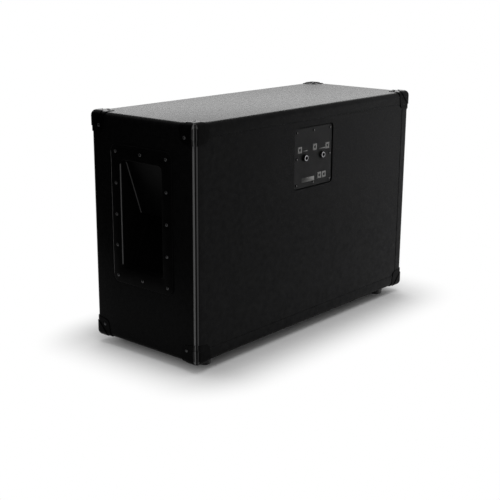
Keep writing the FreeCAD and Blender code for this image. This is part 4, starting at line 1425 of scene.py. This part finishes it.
@dataclass
class JackPlate:
    """The sunk plate on the rear with its two jacks and its plain marks.

    Marks and jacks are drawn from the plate's middle, as seen from behind. Sections are a radius
    and a height off the plate's face.
    """
    width: float = 0.138
    height: float = 0.134
    thickness: float = 0.002
    corner: float = 0.008
    rim: float = 0.0005
    rim_steps: int = 3
    face: float = BOX.plate_face
    middle: float = BOX.plate_middle
    spacing: float = 0.0315
    hole: float = 0.0052
    outlines: Section = (
        (-0.0505, 0.0195), (0.0045, 0.0205), (0.0515, 0.0185), (0.0235, -0.0465),
        (0.0405, -0.0465),
    )
    outline_size: float = 0.0145
    outline_hole: float = 0.0055
    outline_corner: float = 0.001
    bars: tuple[tuple[float, float, float, float], ...] = (
        (-0.030, 0.0155, 0.015, 0.0026), (0.0325, 0.0145, 0.023, 0.0026),
        (-0.0185, -0.0505, 0.046, 0.010),
    )
    bar_corner: float = 0.0006
    ink_height: float = 0.0001
    ink: float = 0.00015
    collar_radius: float = 0.0085
    collar_height: float = 0.0015
    nut_flat: float = 0.0068
    nut_height: float = 0.0037
    soft: float = 0.0004
    bush: Section = (
        (0.00335, -0.024), (0.005, -0.024), (0.005, 0.0050), (0.0064, 0.0052), (0.0060, 0.0057),
        (0.0040, 0.0057), (0.00335, 0.0050),
    )
    bush_soft: float = 0.0002
    sleeve: Section = (
        (0.0047, 0.0058), (0.0037, 0.0057), (0.00334, 0.005), (0.00334, -0.0235), (0.0, -0.0235),
    )
    sleeve_steps: int = 32
    sleeve_wall: float = 0.0003
    housing: float = 0.009
    housing_ends: tuple[float, float] = (0.1242, 0.1482)
    housing_edge: float = 0.0008
    housing_wall: float = 0.0012
    housing_depth: float = 0.004

    def build(self) -> None:
        """Builds the plate, its marks and both jacks."""
        self.plate()
        self.marks()
        self.pair("jack_collar_rings", "jack_collars", self.collar)
        self.pair("jack_nut_rings", "jack_nuts", self.nut)
        for side in Side:
            self.jack(side)

    def plate(self) -> None:
        """Cuts the plate with its two holes and rounds its rim."""
        shape = Shape()
        loops = shape.rectangle(self.width, self.height, self.corner)
        for side in Side:
            loops += shape.circle(self.hole, HOLE_STEPS, (side.value * self.spacing, 0.0, 0.0))
        shape.fill(loops)
        shape.look((0, 0, 1)).place(rear_face(0.0, self.face, self.middle))
        piece = shape.piece("jack_plate_sheet", PLATE_PAINT, thick=self.thickness)
        ease(piece, self.rim, self.rim_steps)
        settle(piece, PLATE_PAINT, "jack_plate")

    def marks(self) -> None:
        """Prints plain outlines and bars, with no words."""
        made = Shape()
        for x, y in self.outlines:
            mark = Shape()
            outer, inner = (
                mark.rectangle(size, size, self.outline_corner)
                for size in (self.outline_size, self.outline_hole)
            )
            mark.bridge(outer + inner)
            made.add(mark.place(Matrix.Translation((x, y, 0.0))))
        for x, y, width, height in self.bars:
            bar = Shape()
            bar.rectangle(width, height, self.bar_corner, filled=True)
            made.add(bar.place(Matrix.Translation((x, y, 0.0))))
        made.place(rear_face(0.0, self.face + self.ink_height, self.middle)).look((0, 1, 0))
        settle(made.piece("plate_marks", PLATE_INK, thick=self.ink), PLATE_INK)

    def seat(self, side: Side) -> Matrix:
        """The place of one jack in the plate's face."""
        return rear_face(side.value * self.spacing, self.face, self.middle)

    def pair(self, name: str, node: str, part: Callable[[], Shape]) -> None:
        """Sets one ring over each jack.

        Args:
            name: the pair's name.
            node: the node that it replaces.
            part: the method that makes one ring.
        """
        made = Shape()
        for side in Side:
            made.add(part().place(self.seat(side)))
        settle(made.piece(name, COLLAR_PLASTIC, smooth=35.0), COLLAR_PLASTIC, node)

    def collar(self) -> Shape:
        """The dark ring under a nut."""
        section = ring(self.hole, self.collar_radius, 0.0, self.collar_height)
        return Shape().turn(section, SMALL_STEPS, self.soft, closed=True)

    def nut(self) -> Shape:
        """A thin six-sided nut with eased corners.

        Returns:
            The nut.
        """
        shape = Shape()
        seat = (0.0, 0.0, self.collar_height)
        outer = shape.circle(self.nut_flat / math.cos(math.pi / 6), 6, seat)
        shape.fill(outer + shape.circle(self.hole, HOLE_STEPS, seat))
        shape.extrude(shape.bm.faces[:], (0.0, 0.0, self.nut_height), keep=True)
        shape.join()
        shape.bevel(shape.sharp(50.0), self.soft, EASED_STEPS)
        return shape

    def jack(self, side: Side) -> None:
        """Builds one jack's bush with the bore, its liner and its housing.

        Args:
            side: the side that it is on.
        """
        bush = Shape().turn(self.bush, SMALL_STEPS, self.bush_soft, closed=True)
        bush.place(self.seat(side))
        node = side.word + "_jack"
        settle(bush.piece(node + "_bush", JACK_CHROME, 35.0), JACK_CHROME, node + "_body")
        sleeve = Shape().turn(self.sleeve, self.sleeve_steps).look((0, 0, 1))
        sleeve.place(self.seat(side))
        liner = sleeve.piece(node + "_sleeve", COLLAR_PLASTIC, thick=self.sleeve_wall)
        settle(liner, COLLAR_PLASTIC)
        x, z, half = side.value * self.spacing, self.middle, self.housing
        front, back = self.housing_ends
        housing = Shape()
        housing.block((x - half, front, z - half), (x + half, back, z + half))
        housing.bevel(housing.bm.edges[:], self.housing_edge, EASED_STEPS)
        housing.inset(housing.facing((0, -1, 0)), self.housing_wall, -self.housing_depth)
        settle(housing.piece(node + "_housing", COLLAR_PLASTIC, 35.0), COLLAR_PLASTIC)
        dress(node + "_spring", SPRING_BRASS)


@dataclass
class Feet:
    """Four rubber feet, each with a screw up inside it."""
    x: float = BOX.foot_x
    y: float = BOX.foot_y
    height: float = 0.020
    tip: float = 0.014
    top: float = 0.016
    well: float = 0.008
    well_depth: float = BOX.foot_well
    bore: float = 0.0025
    soft: float = 0.0014

    def build(self) -> None:
        """Builds each foot at its place."""
        section = [
            (self.bore, self.well_depth), (self.well, self.well_depth), (self.well, 0.0),
            (self.tip, 0.0), (self.top, self.height), (self.bore, self.height),
        ]
        for side, (end, y) in product(Side, (("front", -self.y), ("rear", self.y))):
            shape = Shape().turn(section, SMALL_STEPS, self.soft, closed=True)
            shape.place(Matrix.Translation((side.value * self.x, y, 0.0)))
            node = f"{side.word}_{end}_foot"
            settle(shape.piece(node + "_rubber", FOOT_RUBBER), FOOT_RUBBER, node)


@dataclass
class Grille:
    """Cloth stretched over a frame that pulls off its pads."""
    half_width: float = 0.3667
    low: float = 0.0408
    high: float = 0.4992
    front: float = -0.1465
    back: float = -0.1337
    cloth: float = 0.0008
    edge: float = 0.002
    edge_steps: int = 4
    wood_edge: float = 0.0008

    def build(self) -> None:
        """Builds the cloth, and dresses the frame and the pads."""
        self.stretch_cloth()
        dress("grille_frame", BAFFLE_PAINT, self.wood_edge)
        dress("grille_pads", PAD_FABRIC, self.wood_edge)

    def stretch_cloth(self) -> None:
        """Stretches the cloth over the frame's face and down its sides."""
        half = self.half_width
        shape = Shape()
        shape.block((-half, self.front, self.low), (half, self.back, self.high))
        shape.drop([shape.facing((0, 1, 0))])
        shape.bevel(shape.edges(2), self.edge, self.edge_steps)
        layer = shape.bm.loops.layers.uv.new("weave")
        for face in shape.bm.faces:
            skip = max(range(3), key=lambda axis: abs(face.normal[axis]))
            first, second = (axis for axis in range(3) if axis != skip)
            for loop in face.loops:
                loop[layer].uv = (loop.vert.co[first], loop.vert.co[second])
        shape.look((0, -1, 0))
        piece = shape.piece("grille_cloth_sheet", GRILLE_CLOTH, thick=self.cloth)
        settle(piece, GRILLE_CLOTH, "grille_cloth", body="grille")


def corrugated(
    outer: tuple[float, float], inner: tuple[float, float], first: float, pitch: float,
    waves: int, rise: float,
) -> Section:
    """The section of a corrugated disc.

    Args:
        outer: its outer edge, as a radius and a height.
        inner: its inner edge.
        first: the radius of its outermost wave.
        pitch: how far the waves lie apart.
        waves: how many there are.
        rise: how far each stands above or below the disc.

    Returns:
        The section, from the outer edge in.
    """
    low, high = outer[1], inner[1]
    points = [
        (first - pitch * i, low + (high - low) * (i + 1) / (waves + 1) + (rise if i % 2 else -rise))
        for i in range(waves)
    ]
    return (outer, *points, inner)


@dataclass(frozen=True)
class Turned:
    """One piece of a driver, spun round the driver's axis.

    The section's points are a radius and a height out of the baffle's face. A piece with a skin
    is a sheet of that thickness, and the others are solid.
    """
    node: str
    ending: str
    finish: Finish
    section: Section
    soft: float = 0.0
    steps: int = 64
    smooth: float = 35.0
    skin: float = 0.0
    hold: Hold = Hold.BASKET


@dataclass
class Driver:
    """One paper-cone driver behind the grille."""
    side: Side
    x: float = BOX.driver_x
    baffle: float = -0.1265
    middle: float = BOX.driver_middle
    window_radii: tuple[float, float] = (0.082, 0.130)
    window_turns: tuple[float, float] = (12.0, 48.0)
    spoke_turn: float = 60.0
    basket: Turned = Turned(
        "basket", "pressing", BASKET_PAINT,
        (
            (0.1545, 0.002), (0.136, 0.002), (0.134, -0.010), (0.078, -0.079), (0.063, -0.079),
            (0.061, -0.097), (0.0254, -0.097),
        ),
        soft=0.0018, steps=72, smooth=40.0, skin=0.002,
    )
    parts: tuple[Turned, ...] = (
        Turned("gasket", "ring", GASKET_BOARD, ring(0.136, 0.1425, 0.0028, 0.005), 0.0006),
        Turned("top_plate", "ring", MOTOR_STEEL, ring(0.0234, 0.060, -0.106, -0.098), 0.0006),
        Turned("magnet", "ring", FERRITE, ring(0.036, 0.066, -0.124, -0.106), 0.001),
        Turned(
            "yoke", "and_pole", MOTOR_STEEL,
            (
                (0.0, -0.132), (0.060, -0.132), (0.060, -0.124), (0.021, -0.124), (0.021, -0.098),
                (0.0, -0.098),
            ),
            soft=0.0006,
        ),
        Turned(
            "cone", "paper", CONE_PAPER,
            (
                (0.0230, -0.0616), (0.052, -0.050), (0.074, -0.0385), (0.076, -0.0362),
                (0.078, -0.0362), (0.092, -0.0277), (0.094, -0.0254), (0.096, -0.0254),
                (0.110, -0.0160), (0.1236, -0.0046),
            ),
            soft=0.0015, steps=72, smooth=50.0, skin=0.0008, hold=Hold.CONE,
        ),
        Turned(
            "dust_cap", "dome", CONE_PAPER,
            (
                (0.0, -0.0402), (0.014, -0.0410), (0.027, -0.0440), (0.036, -0.0487),
                (0.0398, -0.0512),
            ),
            soft=0.004, steps=56, smooth=60.0, skin=0.0008, hold=Hold.CONE,
        ),
        Turned(
            "voice_coil", "former", COIL_METAL, ring(0.0218, 0.0226, -0.109, -0.062),
            hold=Hold.CONE,
        ),
        Turned(
            "surround", "roll", SUSPENSION_CLOTH,
            (
                (0.1422, 0.0046), (0.1385, 0.0046), (0.1350, 0.0066), (0.1320, 0.0048),
                (0.1300, 0.0022), (0.1285, 0.0016), (0.1265, -0.0010), (0.1246, -0.0036),
            ),
            soft=0.0008, steps=72, smooth=60.0, skin=0.0006, hold=Hold.BOTH,
        ),
        Turned(
            "spider", "disc", SPIDER_CLOTH,
            corrugated((0.0752, -0.0780), (0.0232, -0.0748), 0.070, 0.0055, 8, 0.0005),
            soft=0.0012, smooth=60.0, skin=0.0005, hold=Hold.BOTH,
        ),
    )

    def build(self) -> None:
        """Builds the driver from its basket to its spider."""
        for part in (self.basket, *self.parts):
            self.form(part)
        dress(self.side.word + "_terminals", SPRING_BRASS)

    def form(self, part: Turned) -> None:
        """Spins one piece and hangs it where it belongs, except that a ring between basket and cone
        is only baked in place.

        Args:
            part: the piece.
        """
        closed = not part.skin and part.section[0][0] > 0
        shape = Shape().turn(part.section, part.steps, part.soft, closed)
        if part.skin:
            shape.look((0, 0, 1))
        if part is self.basket:
            shape.drop([face for face in shape.bm.faces if self.in_window(face)], "FACES")
        at = (self.side.value * self.x, self.baffle, self.middle)
        shape.place(axes((1, 0, 0), (0, 0, 1), (0, -1, 0), at))
        node = f"{self.side.word}_{part.node}"
        piece = shape.piece(f"{node}_{part.ending}", part.finish, part.smooth, part.skin)
        if part.hold is Hold.BOTH:
            self.bend(piece, part, node)
        elif part.hold is Hold.CONE:
            settle(piece, part.finish, node, body=self.side.word + "_diaphragm")
        else:
            settle(piece, part.finish, node)

    def in_window(self, face: BMFace) -> bool:
        """Whether a face of the basket lies between two spokes.

        Args:
            face: the face.

        Returns:
            Whether it does.
        """
        x, y, _ = face.calc_center_median()
        turn = math.degrees(math.atan2(y, x)) % self.spoke_turn
        (inner, outer), (first, last) = self.window_radii, self.window_turns
        return inner < math.hypot(x, y) < outer and first < turn < last

    def bend(self, piece: Object, part: Turned, node: str) -> None:
        """Bakes a ring of cloth, glued down on the basket and joined to the cone, in place of its
        node.

        Args:
            piece: the finished ring.
            part: what it was made from; not used.
            node: the node that it replaces.
        """
        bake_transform(piece)
        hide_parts(node)
        LOG.info("%s bends for %s", piece.name, node)


@dataclass
class Wiring:
    """A flat twin flex from each jack to its driver."""
    width: float = 0.005
    thickness: float = 0.0024
    route: tuple[Point, ...] = (
        (0.0315, 0.1239, 0.408), (0.0315, 0.0939, 0.408), (0.106, -0.0132, 0.270),
        (0.106, -0.0432, 0.270),
    )
    length: float = 0.245

    def build(self) -> None:
        """Lays both flexes along their routes."""
        for side in Side:
            name = side.word + "_twin_flex"
            route = [(side.value * x, y, z) for x, y, z in self.route]
            curve = bpy.data.curves.new(name, "CURVE")
            curve.dimensions = "3D"
            curve.bevel_depth = self.thickness / 2
            curve.extrude = (self.width - self.thickness) / 2
            curve.bevel_resolution = 3
            spline = curve.splines.new("NURBS")
            spline.points.add(len(route) - 1)
            for point, at in zip(spline.points, route):
                point.co = (*at, 1.0)
            spline.order_u = 3
            spline.use_endpoint_u = True
            spline.resolution_u = 24
            curve.materials.append(FLEX_SHEATH.material())
            piece = show(name, curve)
            settle(piece, FLEX_SHEATH, side.word + "_flex")


@dataclass
class Carcass:
    """The plywood boards, battens and brace, kept as their solids."""
    level: tuple[str, ...] = ("bottom_panel", "top_panel", "battens")
    upright: tuple[str, ...] = ("left_side_panel", "right_side_panel", "centre_brace")

    def build(self) -> None:
        """Dresses each board with its grain along it."""
        for node in self.level:
            dress(node, PLYWOOD)
        for node in self.upright:
            dress(node, SIDE_PLYWOOD)
        dress("baffle_board", BAFFLE_PAINT)
        dress("rear_panel", REBATE_STAIN)


@dataclass(frozen=True)
class Lamp:
    """A soft lamp, with its power in watts."""
    name: str
    at: Point
    aim: Point
    size: tuple[float, float]
    power: float
    mirrored: bool = True

    def hang(self) -> Object:
        """Hangs the lamp, out of the camera's sight.

        Returns:
            The lamp.
        """
        light = bpy.data.lights.new(self.name, "AREA")
        light.shape = "RECTANGLE"
        light.size, light.size_y = self.size
        light.energy = self.power
        lamp = show(self.name, light)
        way = Vector(self.aim) - Vector(self.at)
        lamp.location = self.at
        lamp.rotation_euler = way.to_track_quat("-Z", "Y").to_euler()
        lamp.visible_camera = False
        lamp.visible_glossy = self.mirrored
        return lamp


@dataclass
class Studio:
    """A white floor, soft light and the camera.

    The floor shows its shadow beside the footprint on a grey that is painted shade, and fades to
    white over the shadow's width.
    """
    eye: Point = (1.81982, 1.51525, 0.81689)
    azimuth: float = 130.425
    elevation: float = 15.4885
    roll: float = 0.391
    lens: float = 73.535
    sensor: float = 36.0
    clip: float = 60.0
    floor_radius: float = 7.0
    floor_steps: int = 96
    footprint: tuple[float, float] = (0.318, 0.154)
    end_reach: float = 0.76
    shadow: float = 0.17
    surround: float = 0.45
    flag_box: tuple[Point, Point] = ((0.80, -1.7, 0.0), (0.81, 0.12, 1.7))
    overhead: Lamp = Lamp("overhead", (0.0, 0.0, 3.2), (0.0, 0.0, 0.2), (3.2, 3.2), 60.0)
    far_bank: Lamp = Lamp("far_bank", (-2.5, -2.1, 1.55), (0.0, 0.0, 0.5), (3.0, 1.3), 33.0)
    rear_bank: Lamp = Lamp(
        "rear_bank", (-1.15, 0.85, 0.28), (-0.4, 0.15, 0.22), (0.5, 0.5), 54.0, mirrored=False
    )

    def build(self) -> None:
        """Sets the view, the floor, the world, the lamps, the flag and the camera."""
        bpy.context.scene.view_settings.view_transform = "Standard"
        floor = self.floor()
        self.world()
        self.overhead.hang()
        self.far_bank.hang()
        self.spare(self.rear_bank.hang(), floor)
        self.flag()
        self.camera()

    def flag(self) -> None:
        """Stands a black flag, unseen by the camera, that keeps light off the end beside it."""
        shape = Shape()
        shape.block(*self.flag_box)
        flag = shape.piece("studio_flag", STUDIO_FLAG)
        flag.visible_camera = False

    def floor(self) -> Object:
        """Lays a grey floor, painted shade round the cabinet, that keeps the shadow and fades into
        the white beyond.

        Returns:
            The floor.
        """
        shape = Shape()
        radius, steps = self.floor_radius, self.floor_steps
        bmesh.ops.create_circle(shape.bm, cap_ends=True, radius=radius, segments=steps)
        floor = shape.look((0, 0, 1)).piece("studio_floor", STUDIO_FLOOR)
        self.fade(floor.data.materials[0])
        return floor

    @staticmethod
    def spare(lamp: Object, floor: Object) -> None:
        """Keeps a low lamp off the floor, where it would wash out the shadow.

        Args:
            lamp: the lamp.
            floor: the floor.
        """
        spared = bpy.data.collections.new(lamp.name + "_spares")
        spared.objects.link(floor)
        spared.collection_objects[0].light_linking.link_state = "EXCLUDE"
        lamp.light_linking.receiver_collection = spared

    @staticmethod
    def seen(tree: Tree) -> NodeSocket:
        """A value of 1 for rays that see a surface, straight or in gloss or glass.

        Args:
            tree: the tree that it is for.

        Returns:
            The value.
        """
        value = tree.add("LightPath", "Is Camera Ray", {})
        path = value.node.outputs
        for ray in ("Is Glossy Ray", "Is Transmission Ray"):
            value = tree.sum("MAXIMUM", value, path[ray])
        return value

    def fade(self, material: Material) -> None:
        """Turns the floor to plain white away from the cabinet, for rays that see it.

        Args:
            material: the floor's material.
        """
        tree = Tree(material.node_tree)
        place = tree.add("TexCoord", "Object", {})
        for kind, amount in (
            ("ABSOLUTE", {}), ("SUBTRACT", {1: (*self.footprint, 0.0)}),
            ("MAXIMUM", {1: (0.0, 0.0, 0.0)}), ("MULTIPLY", {1: (self.end_reach, 1.0, 0.0)}),
        ):
            place = tree.add("VectorMath", "Vector", {0: place, **amount}, operation=kind)
        reach = tree.add("VectorMath", "Value", {0: place}, operation="LENGTH")
        limits = {"Value": reach, "From Min": 0.0, "From Max": self.shadow}
        share = tree.add("MapRange", "Result", limits, interpolation_type="SMOOTHSTEP")
        lit = tree.find("BSDF_PRINCIPLED").outputs["BSDF"]
        white = tree.add("Emission", "Emission", {})
        share = tree.sum("MULTIPLY", share, self.seen(tree))
        mix = tree.add("MixShader", "Shader", {"Fac": share, 1: lit, 2: white})
        tree.fill(tree.find("OUTPUT_MATERIAL"), {"Surface": mix})

    def world(self) -> None:
        """Sets a white surround for rays that see it and a plain grey light for the rest."""
        world = bpy.data.worlds.new("studio_world")
        bpy.context.scene.world = world
        world.use_nodes = True
        tree = Tree(world.node_tree)
        levels = {"Value": self.seen(tree), "To Min": self.surround, "To Max": 1.0}
        strength = tree.add("MapRange", "Result", levels)
        white = (1.0, 1.0, 1.0, 1.0)
        tree.fill(tree.find("BACKGROUND"), {"Color": white, "Strength": strength})

    def camera(self) -> None:
        """Stands the camera where the photograph was taken from."""
        turn, rise, tilt = map(math.radians, (self.azimuth, self.elevation, self.roll))
        flat = math.cos(rise)
        back = Vector((math.sin(turn) * flat, -math.cos(turn) * flat, math.sin(rise)))
        level = UP.cross(back).normalized()
        above = back.cross(level)
        right = math.cos(tilt) * level + math.sin(tilt) * above
        up = math.cos(tilt) * above - math.sin(tilt) * level
        data = bpy.data.cameras.new("camera")
        data.sensor_width = self.sensor
        data.sensor_fit = "HORIZONTAL"
        data.lens = self.lens
        data.clip_end = self.clip
        camera = show("camera", data)
        camera.matrix_world = axes(right, up, back, self.eye)
        bpy.context.scene.camera = camera


def main() -> None:
    """Builds the sub-assemblies in order."""
    logging.basicConfig(level=logging.INFO, format="%(message)s")
    parts = [Studio(), Wiring(), Carcass(), Covering()]
    parts += [SideHandle(side) for side in Side]
    parts += [CornerProtectors(), Fasteners(), JackPlate(), Feet(), Grille()]
    parts += [Driver(side) for side in Side]
    for part in parts:
        part.build()


if __name__ == "__main__":
    main()
